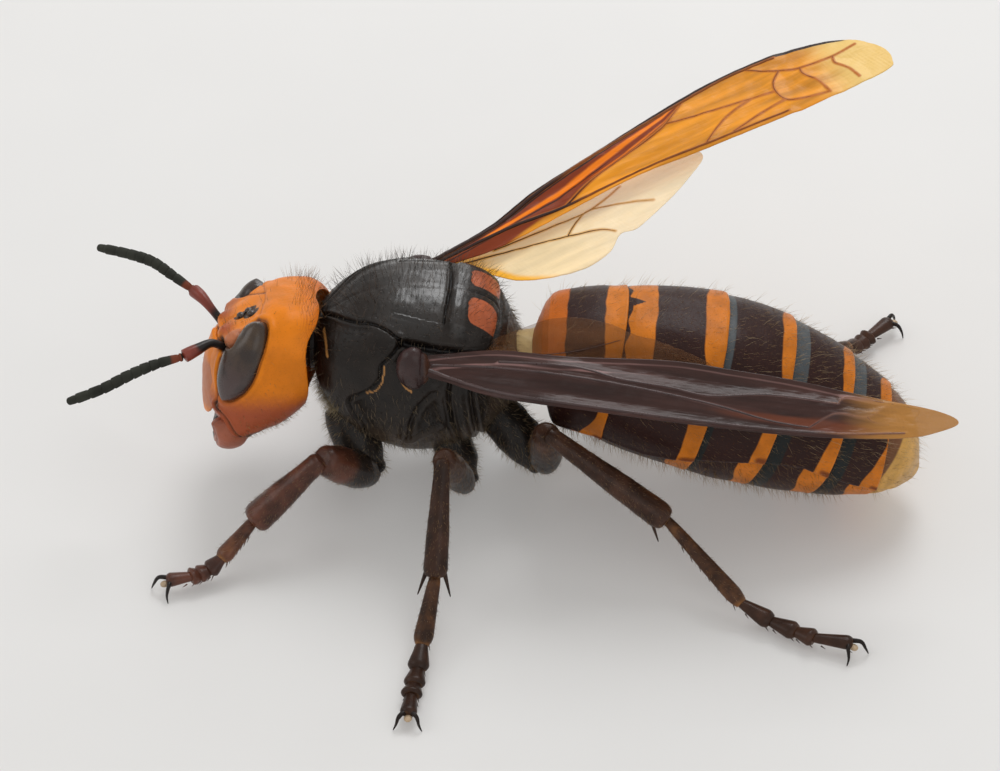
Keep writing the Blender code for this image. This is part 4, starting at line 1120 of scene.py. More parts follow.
# Lines on the thorax, of its left side
COLLAR_SEAM = (
    (0.0, -6.0, 12.8), (0.42, -5.84, 12.92), (0.97, -5.07, 13.3), (2.0, -4.1, 14.0), (2.63, -3.2, 14.4),
    (2.99, -1.98, 14.5), (3.61, -0.91, 14.3), (3.9, -0.51, 14.0), (4.42, -1.24, 13.15),
    (4.46, -1.75, 12.48), (5.0, -1.84, 11.76), (5.04, -2.69, 10.8), (4.8, -3.76, 9.85), (4.82, -3.4, 8.6),
    (4.82, -2.97, 7.74), (4.4, -3.0, 6.2),
)
FLANK_SEAMS = (
    ((5.04, -0.06, 7.0), (5.31, 0.24, 8.74), (5.28, 0.77, 10.04), (5.19, 1.41, 10.85), (5.15, 1.85, 11.02)),
    ((5.18, 1.83, 8.29), (5.21, 1.05, 7.83), (5.04, -0.06, 7.0)),
    (
        (4.9, 2.9, 12.6), (5.1, 2.6, 11.0), (5.1, 2.7, 9.4), (4.8, 3.0, 7.4),
        (4.0, 3.2, 5.8), (2.6, 3.2, 4.4),
    ),
    ((4.6, 4.1, 12.2), (4.75, 4.0, 10.4), (4.6, 4.2, 8.4), (3.9, 4.4, 6.4), (2.4, 4.6, 5.1)),
)
WING_GROOVE = ((3.9, -0.51, 14.0), (4.15, 1.2, 13.8), (4.15, 2.8, 13.6), (3.6, 4.5, 13.0), (2.3, 5.9, 12.0))
BACK_RIDGE = ((2.54, -1.11, 15.22), (2.83, 0.18, 15.13), (2.97, 1.27, 14.99), (3.0, 2.0, 14.87))
# Pale lines between the plates: (strength, half width, route)
PALE_LINES = (
    (0.8, 0.16, ((1.72, -5.64, 12.96), (2.53, -5.44, 12.75), (3.34, -5.25, 12.11))),
    (0.9, 0.07, ((4.73, -1.53, 12.73), (5.01, -1.59, 11.79), (5.14, -2.04, 11.02), (5.03, -2.76, 10.71))),
    (0.9, 0.07, ((4.7, -0.43, 11.69), (4.8, -0.1, 11.26), (5.0, 0.23, 11.06))),
)
# Caps over the wing roots: (centre, half sizes)
WING_CAPS = {
    "left": ((5.0, 0.35, 12.9), (0.9, 1.1, 1.6)),
    "right": ((-5.0, 0.0, 12.5), (0.9, 1.4, 1.1)),
}


def thorax_skin():
    """The bare thorax from the collar to the waist."""
    def shape(place, turn):
        y, width, top, bottom = spline(THORAX, place).T
        widest = bottom + (top - bottom) * WIDEST_SHARE
        across, along = oval(turn, THORAX_POWER)
        z = widest + along * np.where(along > 0, top - widest, widest - bottom)
        return np.stack((across * width, y, z), 1)

    return grown(280, 320, shape)


def shape_thorax(form):
    """Seams between the plates, the shield behind the back and the ridges of the flanks."""
    p = form.points
    fold = p.copy()
    fold[:, 0] = np.abs(fold[:, 0])
    x, y, z = fold.T
    top = ease(z, 12.0, 13.4)
    collar = away(fold, COLLAR_SEAM, 70)
    scutum_rear = np.abs(y - 2.25 - 0.12 * np.cos(x * 0.9))
    scutum_rear = scutum_rear + 4 * (1 - ease(3.4 - x, 0, 0.4)) * top + 9 * (1 - top)
    shield = ease(y, 2.3, 2.8) * ease(5.7 - y, 0.0, 0.7) * ease(3.5 - x, 0.0, 0.7) * top
    shield_rear = np.abs(y - 5.6 + 0.05 * x**2) + 9 * (1 - ease(z, 12.4, 13.0))
    middle = np.abs(p[:, 0] - 0.3)
    wing_side = away(fold, WING_GROOVE)
    rise = -0.26 * hump(collar, 0.07) + 0.09 * hump(collar - 0.24, 0.16)
    rise -= 0.34 * hump(wing_side, 0.25) - 0.1 * hump(wing_side - 0.5, 0.25) * ease(z, 13.2, 14.0)
    rise -= 0.24 * hump(scutum_rear, 0.06) - 0.05 * hump(scutum_rear - 0.16, 0.08)
    rise += 0.2 * shield
    rise -= 0.13 * hump(middle, 0.06) * shield
    rise -= 0.3 * hump(shield_rear, 0.1) - 0.12 * hump(y - 5.95, 0.1) * top
    for seam in FLANK_SEAMS:
        line = away(fold, seam)
        rise -= 0.22 * hump(line, 0.09) - 0.12 * hump(line - 0.35, 0.22)
    ridge = away(fold, BACK_RIDGE)
    rise += 0.08 * hump(ridge, 0.06) - 0.05 * hump(ridge - 0.14, 0.08)
    rise -= 0.05 * hump(middle, 0.07) * ease(2.0 - y, 0, 0.5) * ease(y + 5.6, 0, 0.6) * top
    rise -= 0.35 * near(fold, (5.2, 2.6, 12.4), (0.8, 1.4, 1.0))
    rise += 0.03 * ripples(p, 1.6, 2) + 0.012 * ripples(p, 0.5, 4)
    form.push(rise)
    ragged = 0.06 * ripples(p, 0.6, 14)
    spot = ease(1 - ((y - 4.45 + ragged) / 0.95) ** 4 - ((middle - 1.45) / 0.95) ** 4, 0.0, 0.35) * top
    glossy = ease(y, -3.2, -1.0) * ease(2.2 - y, 0, 0.3) + ease(y, 2.5, 2.7) * ease(3.6 - y, 0, 0.4)
    grooves = hump(collar, 0.07) + hump(scutum_rear, 0.06) + hump(middle, 0.06) * shield
    return form.marked(
        spot=spot,
        stripe=sum(strength * hump(away(fold, line), width) for strength, width, line in PALE_LINES),
        soft=ease(y, 4.6, 5.6) * ease(13.0 - z, 0, 0.8) + 0.8 * ease(9.5 - z, 0, 3.0),
        # The groove mark is the dark of the seams and, beside the wing groove, a painted shadow under the
        # scutum's edge.
        groove=grooves + 0.9 * hump(wing_side, 0.3),
        gloss=0.85 * ease(z, 14.0, 15.2) * glossy,
    )


class HORNET_OT_thorax(bpy.types.Operator):
    """Model the thorax, the neck, the waist and the caps over the wing roots"""

    bl_idname = "hornet.thorax"
    bl_label = "Thorax"

    def execute(self, context):
        skin = shape_thorax(thorax_skin())
        layers = (
            ("spot", (0.42, 0.10, 0.035)), ("stripe", (0.42, 0.20, 0.06)), ("soft", (0.046, 0.031, 0.021)),
            # The near-black groove layer: dark seams, and painted shadow under the scutum's edge by the
            # wing root.
            ("groove", (0.003, 0.002, 0.002)),
        )
        finish = shell("black_chitin", colour("black"), layers)
        plates = ("pronotum", "mesothorax", "scutellum", "propodeum")
        show("thorax_skin", skin, [finish], "black_shell", plates)
        route = ((0, -8.8, 10.15), (0, -7.0, 10.3), (0, -5.4, 10.3))
        neck = swept(route, lambda at: 1.5 + 0.25 * at, None, Z, 64, 60, 0.1)
        neck.push(0.05 * np.sin(neck.points[:, 1] * 14))
        show("neck_skin", neck, [finish], "black_shell", ("neck",))
        caps = shell("cap_chitin", (0.040, 0.019, 0.018), (("spot", (0.07, 0.028, 0.016)),))
        for side, (centre, sizes) in WING_CAPS.items():
            cap = ball(centre, sizes, 64, 48)
            local = (cap.points - np.array(centre)) / np.array(sizes)
            cap.push(-0.1 * hump(local[:, 1] - 0.55, 0.1) + 0.015 * ripples(cap.points, 0.5, 3))
            cap.marked(spot=ease(local[:, 1], 0.5, 0.8) * 0.8)
            show(f"wing_cap_{side}", cap, [caps], "dark_brown_shell", (f"tegula_{side}",))
        route = ((0, 6.0, 10.6), (0, 6.7, 10.4), (0, 7.4, 10.1), (0, 8.2, 9.9))
        waist = swept(route, lambda at: 1.1 + 1.6 * at**1.5, None, Z, 96, 70, 0.05)
        waist.push(0.02 * ripples(waist.points, 0.5, 9))
        pale = shell("pale_chitin", (0.86, 0.66, 0.30))
        show("waist", waist, [pale], "cream_shell", ("petiole",))
        self.hair(skin)
        return {"FINISHED"}

    def hair(self, skin):
        def upper(points, normal):
            return ease(normal[:, 2], 0.05, 0.6) * ease(points[:, 2], 12.5, 13.5)

        def lower(points, normal):
            rear = ease(points[:, 1], 4.6, 5.6) * ease(13.2 - points[:, 2], 0, 1)
            return ease(-normal[:, 2], -0.35, 0.4) + 1.4 * rear

        def breast(points, normal):
            return ease(-4.0 - points[:, 1], 0, 1.2) * ease(9.5 - points[:, 2], 0, 1.5)

        back, down = (0.0, 1.0, 0.1), (0.0, 0.3, -1.0)
        grow("back_bristles", skin, upper, back, "black_shell")
        grow("thorax_fuzz", skin, even, back, "black_shell")
        grow("belly_hair", skin, lower, down, "black_shell")
        grow("breast_hair", skin, breast, down, "black_shell")


# Abdomen

def abdomen_axis(places):
    """Centre, forward and up directions and radius of the abdomen at places along Y."""
    x, z, radius = spline_at(ABDOMEN, places)
    x2, z2, _ = spline_at(ABDOMEN, places + 0.3)
    x1, z1, _ = spline_at(ABDOMEN, places - 0.3)
    forward = unit(np.stack((x2 - x1, np.full_like(x, 0.6), z2 - z1), 1))
    centre = np.stack((x, places, z), 1)
    return centre, forward, np.cross(X, forward), radius


def rear_edge(number, turn):
    """Where a ring's rear edge is at a turn around the abdomen, from 0 at the left to 90 degrees on top."""
    if number < 1:
        return np.full_like(turn, ABDOMEN_START)
    if number > len(RING_EDGES):
        return np.full_like(turn, ABDOMEN_END)
    top, slope = RING_EDGES[number - 1]
    return top + slope * np.minimum(1 - np.sin(turn), 1.25)


# Ring in profile: (share of its rows, place from its front to its rear edge, share of the radius, rise)
RING_PROFILE = (
    (0.0, -0.10, 0.0, 0.0), (0.03, -0.10, 0.6, 0.0), (0.05, -0.10, 0.93, -0.3), (0.07, -0.06, 1.0, -0.26),
    (0.1, 0.0, 1.0, -0.13), (0.16, 0.08, 1.0, -0.07), (0.8, 0.9, 1.0, 0.06), (0.88, 0.975, 1.0, 0.09),
    (0.9, 0.993, 1.0, 0.07), (0.92, 1.0, 1.0, 0.01), (0.94, 0.995, 1.0, -0.06), (0.955, 0.97, 1.0, -0.12),
    (0.97, 0.92, 0.9, -0.2), (0.985, 0.92, 0.5, 0.0), (1.0, 0.92, 0.0, 0.0),
)
# How the first ring narrows to the waist: (place from its front to its rear edge, share of the radius)
FRONT_TAPER = ((-0.1, 0.7), (-0.06, 0.72), (0.0, 0.8), (0.05, 0.92), (0.12, 0.99), (0.2, 1))
# Seam between back plate and belly plate: (place, degrees up from the side)
PLATE_SEAM = (
    (8.0, -28.0), (12.7, -28.0), (15.5, -28.0), (19.1, -14.0), (22.1, -3.0), (25.2, 2.0), (28.6, -5.0),
    (32.6, -10.0),
)
# Seen at the front of each ring that has it: how wide its grey strip is, whose tint holds a painted
# reflection
GREY_WIDTHS = {3: 0.5, 4: 1.0, 5: 0.95}
# Edges of each ring's dark band: at the top, the side and the belly seam
DARK_BANDS = (
    ((10.1, 8.0, 8.0), (11.9, 12.1, 10.7)),
    ((14.8, 12.6, 12.6), (17.55, 17.6, 17.5)),
    ((18.0, 18.0, 18.0), (21.8, 21.9, 22.0)),
    ((22.0, 22.0, 22.0), (25.65, 25.85, 25.9)),
    ((26.0, 26.0, 26.0), (28.2, 29.1, 29.2)),
)


def below_seam(where, turn):
    """Degrees up from the abdomen's side, and how many degrees below the belly seam a point lies."""
    side_turn = np.degrees(np.where(np.abs(turn) > math.pi / 2, np.sign(turn) * math.pi - turn, turn))
    return side_turn, np.interp(where, *np.array(PLATE_SEAM).T) - side_turn


def abdomen_ring(number):
    """One ring, whose rear edge overhangs the next one; its back plate laps over its belly plate."""
    rows = np.array(RING_PROFILE, float)

    def lay(place, turn):
        _, at, share, rise = (np.interp(place, rows[:, 0], column) for column in rows.T)
        start, end = rear_edge(number - 1, turn), rear_edge(number, turn)
        return start + at * (end - start), at, share, rise

    def shape(place, turn):
        where, at, share, rise = lay(place, turn)
        if number == 1:
            share = share * np.interp(at, *np.array(FRONT_TAPER).T)
            rise = rise - 0.1 * ease(at, 0.6, 0.9)
        if number == 6:
            share = share * np.sqrt(np.clip(1 - ((at - 0.35) / 0.7).clip(0, 1) ** 2, 0, 1)) ** 0.9
        _, under = below_seam(where, turn)
        rise = rise - 0.16 * ease(under, -0.5, 1.2) + 0.06 * hump(under + 2.5, 2.0)
        rise = rise - 0.12 * ease(under, 2, 16) * ease(at, 0.3, 0.9)
        centre, forward, up, radius = abdomen_axis(where)
        across, along = oval(turn, 2.1)
        reach = (radius + rise) * share
        return centre + X * (across * reach * 1.01)[:, None] + up * (along * reach * 0.985)[:, None]

    form = grown(130, 300, shape)
    where, at, _, _ = lay(form.place, form.turn)
    side_turn, under = below_seam(where, form.turn)
    form.push(0.015 * ripples(form.points, 1.8, number) + 0.006 * ripples(form.points, 0.5, number + 20))
    belly = ease(under, -0.5, 1.0)
    form.marked(grey=0.0, pale=0.0, stain=0.0, red=ease(10.9 - where, -0.4, 0.4) * (number == 1))
    if number == 6:
        return form.marked(dark=ease(30.1 - where, -0.1, 0.2) * 0.9)
    (first_top, first_side, first_low), (last_top, last_side, last_low) = DARK_BANDS[number - 1]
    first = first_low + (first_top - first_low) * ease(side_turn, 5, 32)
    first += (first_side - first_low) * ease(side_turn, -30, 5) * ease(side_turn, 32, 5)
    last = last_low + (last_side - last_low) * ease(side_turn, -35, 5)
    last = last + (last_top - last_side) * ease(side_turn, 30, 85)
    last += 0.3 * hump(side_turn - 48, 16) * (number > 1)
    wave = 0.05 * ripples(form.points, 2.0, number + 40)
    dark = ease(where - first + wave, -0.12, 0.12) * ease(last + wave - where, -0.12, 0.12)
    if number == 2:
        x, behind = form.points[:, 0] + 0.35, where - rear_edge(1, form.turn)
        wedge = ease(0.62 - np.abs(x) - 0.62 * behind, -0.06, 0.06) * ease(form.points[:, 2], 9, 11)
        # Painted shadow: a thin dark strip just behind the first ring's overhanging rear edge.
        overlap_shadow = ease(0.16 - behind + 0.1 * np.sin(side_turn * 0.3), -0.05, 0.05)
        dark = np.maximum(dark, np.maximum(wedge, overlap_shadow))
    belly_dark = ease(last - 0.55 + 0.35 * ease(under, 8, 30) - where, -0.12, 0.12)
    if number in GREY_WIDTHS:
        # The grey strip is the smooth front zone's own dark colour with a painted bluish reflection; the
        # pale mark over its upturned part is a painted reflection of the bright surroundings.
        grey = ease(rear_edge(number - 1, form.turn) + GREY_WIDTHS[number] - where, 0.0, 0.2)
        form.marked(grey=grey, pale=grey * ease(side_turn, 25, 60))
    return form.marked(
        dark=dark * (1 - belly) + belly_dark * belly,
        # Darker orange-brown just above the belly seam, near the rear edge of each ring.
        stain=hump(under + 3, 3.0) * ease(at, 0.75, 0.9) * 0.8,
    )


class HORNET_OT_abdomen(bpy.types.Operator):
    """Model the six rings of the abdomen with their bands"""

    bl_idname = "hornet.abdomen"
    bl_label = "Abdomen"

    def execute(self, context):
        layers = (
            # The second layer: darker orange-brown on the low rear of each back plate, above the belly
            # seam.
            ("red", (0.52, 0.125, 0.012)), ("stain", (0.20, 0.050, 0.012)), ("dark", colour("band")),
            # The grey layer is the front strips' dark colour with a painted reflection in its tint; the
            # pale layer is wholly painted reflection.
            ("grey", (0.016, 0.019, 0.019)), ("pale", (0.075, 0.085, 0.092)),
        )
        banded = shell("banded_chitin", colour("band_orange"), layers)
        tip = shell("tip_chitin", (0.62, 0.34, 0.08), (("dark", (0.16, 0.06, 0.02)),))
        rings = [abdomen_ring(number) for number in range(1, 7)]
        for number, ring in enumerate(rings, 1):
            finish, slot = (tip, "amber_shell") if number == 6 else (banded, "banded_shell")
            show(f"abdomen_ring_{number}", ring, [finish], slot, (f"abdomen_{number}",))
        self.hair(joined(rings))
        return {"FINISHED"}

    def hair(self, skin):
        def outside(points):
            centre, _, _, radius = abdomen_axis(points[:, 1])
            return ease(np.linalg.norm(points - centre, axis=1) / radius, 0.9, 0.95)

        def all_round(points, normal):
            return outside(points) * (0.5 + ease(points[:, 1], 16, 30))

        def belly(points, normal):
            return outside(points) * ease(-normal[:, 2], 0.0, 0.6)

        def upper(points, normal):
            return outside(points) * ease(normal[:, 2], -0.1, 0.4) * (0.4 + ease(points[:, 1], 17, 30))

        back = (0.0, 1.0, -0.25)
        grow("abdomen_bristles", skin, all_round, back, "banded_shell")
        grow("abdomen_long_hair", skin, belly, back, "banded_shell")
        grow("abdomen_setae", skin, upper, back, "banded_shell")


# Legs

def claw(root, ahead, across, side):
    """A curved hook from the end of a foot out, forwards and down to the floor."""
    out = across * side
    start = root - ahead * 0.25
    peak = root + ahead * 0.36 + out * 0.52 + Z * 0.08
    tip = root + ahead * 0.75 + out * 0.9
    tip[2] = 0.02
    route = (start, peak, (peak + tip) / 2 + ahead * 0.12, tip)
    return swept(route, lambda at: 0.17 - 0.145 * at**1.3, None, ahead, 12, 26, 0.05)


def foot_forms(name):
    """The five joints of a foot with the small spines below them, the two claws and the pad between."""
    ankle, first, fourth, fifth, ahead = (np.array(point, float) for point in LEGS[name][3:])
    radius = LEG_RADII[name.split("_")[0]][3]
    between = [first + (fourth - first) * share - Z * sag for share, sag in ((0.4, 0.35), (0.75, 0.21))]
    joints = (ankle, first, *between, fourth, fifth)
    shapes = (FOOT_SHAPE, LOBE_SHAPE, LOBE_SHAPE, LOBE_SHAPE, LAST_JOINT_SHAPE)
    forms = []
    for index, (start, end, shape) in enumerate(zip(joints, joints[1:], shapes)):
        reach = unit(end - start) * 0.16
        part = limb(start - reach, end + reach, radius, shape, 20, 30, 0.75)
        ankle_tone = ease(part.marks["at"], 0.88, 1.0) * 0.35 + 0.3 * (index == 0)
        part.marked(
            amber=ankle_tone + 0.1 * ripples(part.points, 0.9, 7), low=ease(-part.normals()[:, 2], 0.2, 0.8)
        )
        forms.append(part)
        across = unit(np.cross(end - start, Z))
        for side in (1, -1):
            for spot in np.linspace(0.25, 0.95, 7 if index == 0 else 2):
                root = start + (end - start) * spot + across * side * radius * 0.6 - Z * radius * 0.45
                tip = root + unit(end - start) * 0.34 + across * side * 0.14 - Z * 0.1
                route = (root, (root + tip) / 2, tip)
                forms.append(swept(route, lambda at: 0.055 - 0.045 * at, None, Y, 6, 6, 0.1))
    ahead = unit(ahead)
    across = np.cross(ahead, Z)
    claws = [claw(fifth, ahead, across, side).marked(dark=1.0) for side in (1, -1)]
    pad = ball((0, 0, 0), (0.26, 0.3, 0.16)).marked(pad=1.0)
    px, py, pz = pad.points.T[:, :, None]
    pad.points = fifth + px * across + py * ahead + pz * Z + ahead * 0.32 - Z * 0.15
    return [*forms, *claws, pad.facing_out()]


def spur(knee, ankle, reach):
    """A thorn beside an ankle, with its tip at a reach from it."""
    forward = unit(ankle - knee)
    across = unit(np.cross(forward, Z))
    ahead, aside, rise = reach
    root = ankle + forward * (ahead / 2 - 1.2) + across * aside * 0.45
    tip = ankle + forward * ahead + across * aside + Z * rise
    return swept((root, (root + tip) / 2, tip), lambda at: 0.2 - 0.17 * at, None, forward, 12, 24, 0.05)


def leg_forms(name):
    """The skins of each part of a leg."""
    coxa_root, trochanter, knee, ankle = (np.array(point, float) for point in LEGS[name][:4])
    pair = name.split("_")[0]
    coxa_radius, femur_radius, tibia_radius, _ = LEG_RADII[pair]
    coxa = limb(coxa_root, trochanter, coxa_radius, COXA_SHAPE, 48, 60)
    femur = limb(trochanter, knee, femur_radius, FEMUR_SHAPE, 48, 80)
    tibia = limb(knee, ankle, tibia_radius, TIBIA_SHAPE, 48, 80, 0.85)
    coxa.push(0.05 * ripples(coxa.points, 1.0, 3))
    for part in (femur, tibia):
        at = part.marks["at"]
        part.push(0.02 * ripples(part.points, 0.8, 5) + 0.008 * ripples(part.points, 0.3, 6))
        part.marked(
            amber=0.5 * ease(at, 0.96, 1.0) * (part is tibia) + 0.12 * ripples(part.points, 2.2, 8),
            low=ease(-part.normals()[:, 2], 0.3, 0.9), dark=ease(at, 0.8, 0.35) * (part is femur),
        )
    spurs = [spur(knee, ankle, reach).marked(dark=0.5) for reach in SPURS[pair]]
    return {"coxa": [coxa], "femur": [femur], "tibia": [tibia, *spurs], "tarsus": foot_forms(name)}


class HORNET_OT_legs(bpy.types.Operator):
    """Model the six legs down to their claws"""

    bl_idname = "hornet.legs"
    bl_label = "Legs"

    def execute(self, context):
        brown = colour("leg_brown")
        layers = (
            ("low", shade(brown, 2.2)), ("amber", (0.30, 0.125, 0.035)), ("dark", (0.016, 0.010, 0.008)),
            ("pad", (0.62, 0.46, 0.30)),
        )
        bases = {"front": (0.095, 0.032, 0.018), "mid": shade(brown, 0.8), "hind": brown}
        finishes = {pair: shell(f"{pair}_leg_chitin", base, layers) for pair, base in bases.items()}
        coxa_finish = shell("coxa_chitin", colour("black"))
        skins, hips = [], []
        for name in LEGS:
            for part, made in leg_forms(name).items():
                skins.append(made[0])
                finish, slot = finishes[name.split("_")[0]], "dark_brown_shell"
                if part == "coxa":
                    finish, slot = coxa_finish, "black_shell"
                    hips.append(made[0])
                show(f"{part}_skin_{name}", made, [finish], slot, (f"{part}_{name}",))
        self.hair(joined(skins), joined(hips))
        return {"FINISHED"}

    def hair(self, skin, hips):
        def outwards(points):
            return unit(points * (1, 1, 0) - np.array((0, 2.0, 0))) + np.array((0, 0, -0.7))

        grow("leg_bristles", skin, even, outwards, "dark_brown_shell")
        grow("hip_bristles", hips, even, outwards, "black_shell")


# Wings

def wing_frame(side):
    """Root of a wing, and the directions along it, across it and up from it."""
    root, along, across = (np.array(part, float) for part in WING_PLACES[side])
    along = unit(along)
    across = unit(across - along * (across @ along))
    up = np.cross(along, across)
    return root, along, across, up if up[2] > 0 else -up


def wing_arch(side, along, across, hind):
    """How far a point of a wing stands off the body, along OFF_BODY."""
    low, high = WING_ARCHES[side]
    rise = low + (high - low) * ease(along, 0, 8.0)
    if side == "left" and hind:
        rise = rise + np.maximum(0.0, -0.8 - across) * 0.5
    return rise - (HINDWING_DROP if hind else 0.0)


def wing_edges(outline):
    """The low and the high edge of a blade, each as (along, across) in order from the root."""
    fine = spline([*outline, outline[0]], np.linspace(0, 1, 1600))
    top = int(np.argmax(fine[:, 0]))
    low, high = fine[:top + 1], fine[top:][::-1]
    return [np.stack((np.maximum.accumulate(edge[:, 0]), edge[:, 1]), 1) for edge in (low, high)]


def wing_relief(name, flat):
    """Pleats and sag of a blade's membrane, along its own normal, and how far the nearest vein is."""
    a, c = flat.T
    nearest = np.full(len(flat), 9.0)
    for _, vein in VEINS[name]:
        nearest = np.minimum(nearest, away(flat, vein, 60))
    if name == "forewing_left":
        pleats = 0.09 * np.sin(c * 2.6 + 0.5 * np.sin(a * 0.25)) * ease(30.0 - a, 0, 6)
        sag = 0.1 * np.clip(nearest / 0.6, 0, 1)
    elif name == "forewing_right":
        pleats = 0.1 * np.sin((c + 0.12 * a) * 4.0) * ease(22.0 - a, 0, 8)
        sag = 0.14 * np.clip(nearest / 0.8, 0, 1)
    else:
        pleats = 0.06 * np.sin(c * 2.6 + a * 0.2)
        sag = 0.1 * np.clip(nearest / 0.9, 0, 1)
    fine = 0.02 * ripples(flat, 1.1, 8) + 0.008 * ripples(flat, 0.35, 9)
    return pleats - sag + fine, nearest


def on_wing(name, flat, lift=0.0):
    """Where points of a blade, given as (along, across), are in space, raised by lift."""
    kind, side = name.split("_")
    root, along, across, up = wing_frame(side)
    relief, _ = wing_relief(name, flat)
    arch = wing_arch(side, flat[:, 0], flat[:, 1], kind == "hindwing")
    return (
        root + along * flat[:, :1] + across * flat[:, 1:] + OFF_BODY * arch[:, None]
        + up * (relief + lift)[:, None]
    )


def membrane(name, rows=360, lanes=56, thickness=0.07):
    """A blade between its two edges, as a thin closed sheet."""
    low, high = wing_edges(OUTLINES[name])
    bm = bmesh.new()
    bmesh.ops.create_grid(bm, x_segments=rows, y_segments=lanes, size=1)
    for vert in bm.verts:
        vert.co.z = 0
    bmesh.ops.solidify(bm, geom=bm.faces[:], thickness=0.01)
    form = Form.of(bm)
    u, v = (form.points[:, 0] + 1) / 2, (form.points[:, 1] + 1) / 2
    upper = form.points[:, 2] > np.median(form.points[:, 2])
    start = max(low[0, 0], high[0, 0])
    end = min(low[-1, 0], high[-1, 0])
    a = start + (end - start) * np.sin(np.clip(u, 0, 1) * math.pi / 2) ** 0.9
    c_low, c_high = np.interp(a, *low.T), np.interp(a, *high.T)
    c = c_low + (c_high - c_low) * np.clip(v, 0, 1)
    flat = np.stack((a, c), 1)
    form.points = on_wing(name, flat, np.where(upper, thickness / 2, -thickness / 2))
    _, nearest = wing_relief(name, flat)
    form.facing_out()
    return form.marked(along=a, across=c, vein=hump(nearest, 0.22))


def vein_tubes(name):
    """The veins of a wing, each thinner towards its end, in the second finish."""
    tubes = []
    for radius, vein in VEINS[name]:
        length = np.linalg.norm(np.diff(np.array(vein), axis=0), axis=1).sum()
        fine = spline(vein, np.linspace(0, 1, max(8, int(length / 0.35))))
        rows = max(20, int(length / 0.12))
        tube = swept(on_wing(name, fine), lambda at, r=radius: r * (1 - 0.45 * at), None, Z, 10, rows, 0.01)
        place = np.interp(tube.marks["at"], np.linspace(0, 1, len(fine)), fine[:, 0])
        tube.marked(tip=ease(place, 22.0, 27.0), root=ease(place, 13.0, 6.0))
        tubes.append(tube.finished_as(1))
    return tubes


# Rear edge of the far wing's smoky front, as (along, across)
SMOKE_EDGE = ((0, 1.0), (8.5, 0.1), (11.1, -1.0), (15.6, -2.4), (17.0, -2.9), (18.6, -4.0), (21.0, -5.0))


def wing_material(name, base, layers, alpha, rough=0.3, glow=0.0, contrast=0.3):
    """Membrane: streaked along the blade, with a layer of colour wherever its mark is; glow is painted
    light.
    """
    paint = Paint(name)
    broad, thin, fine = paint.streaks(0.9), paint.streaks(0.22, 2.0, 14.0), paint.noise(0.25, 3)
    tone = paint.mix(broad.between(0.3, 0.7), shade(base, 1 - contrast), shade(base, 1 + contrast * 0.6))
    for mark, colour_there, low, high in layers:
        streaked = paint.mark(mark) + (broad - 0.5) * 0.35 + (thin - 0.5) * 0.2
        tone = paint.mix(streaked.between(low, high), tone, colour_there)
    paint.set(Base_Color=tone, Emission_Color=tone, Roughness=fine * 0.15 + (rough - 0.05))
    # Emission at strength glow is painted light, as though the membrane were lit through from behind.
    paint.set(Alpha=alpha - paint.mark("clear") * 0.6, Emission_Strength=glow, Specular_IOR_Level=0.3)
    paint.bump(thin * 0.7 + fine * 0.3, 0.8, 0.05)
    return paint.material


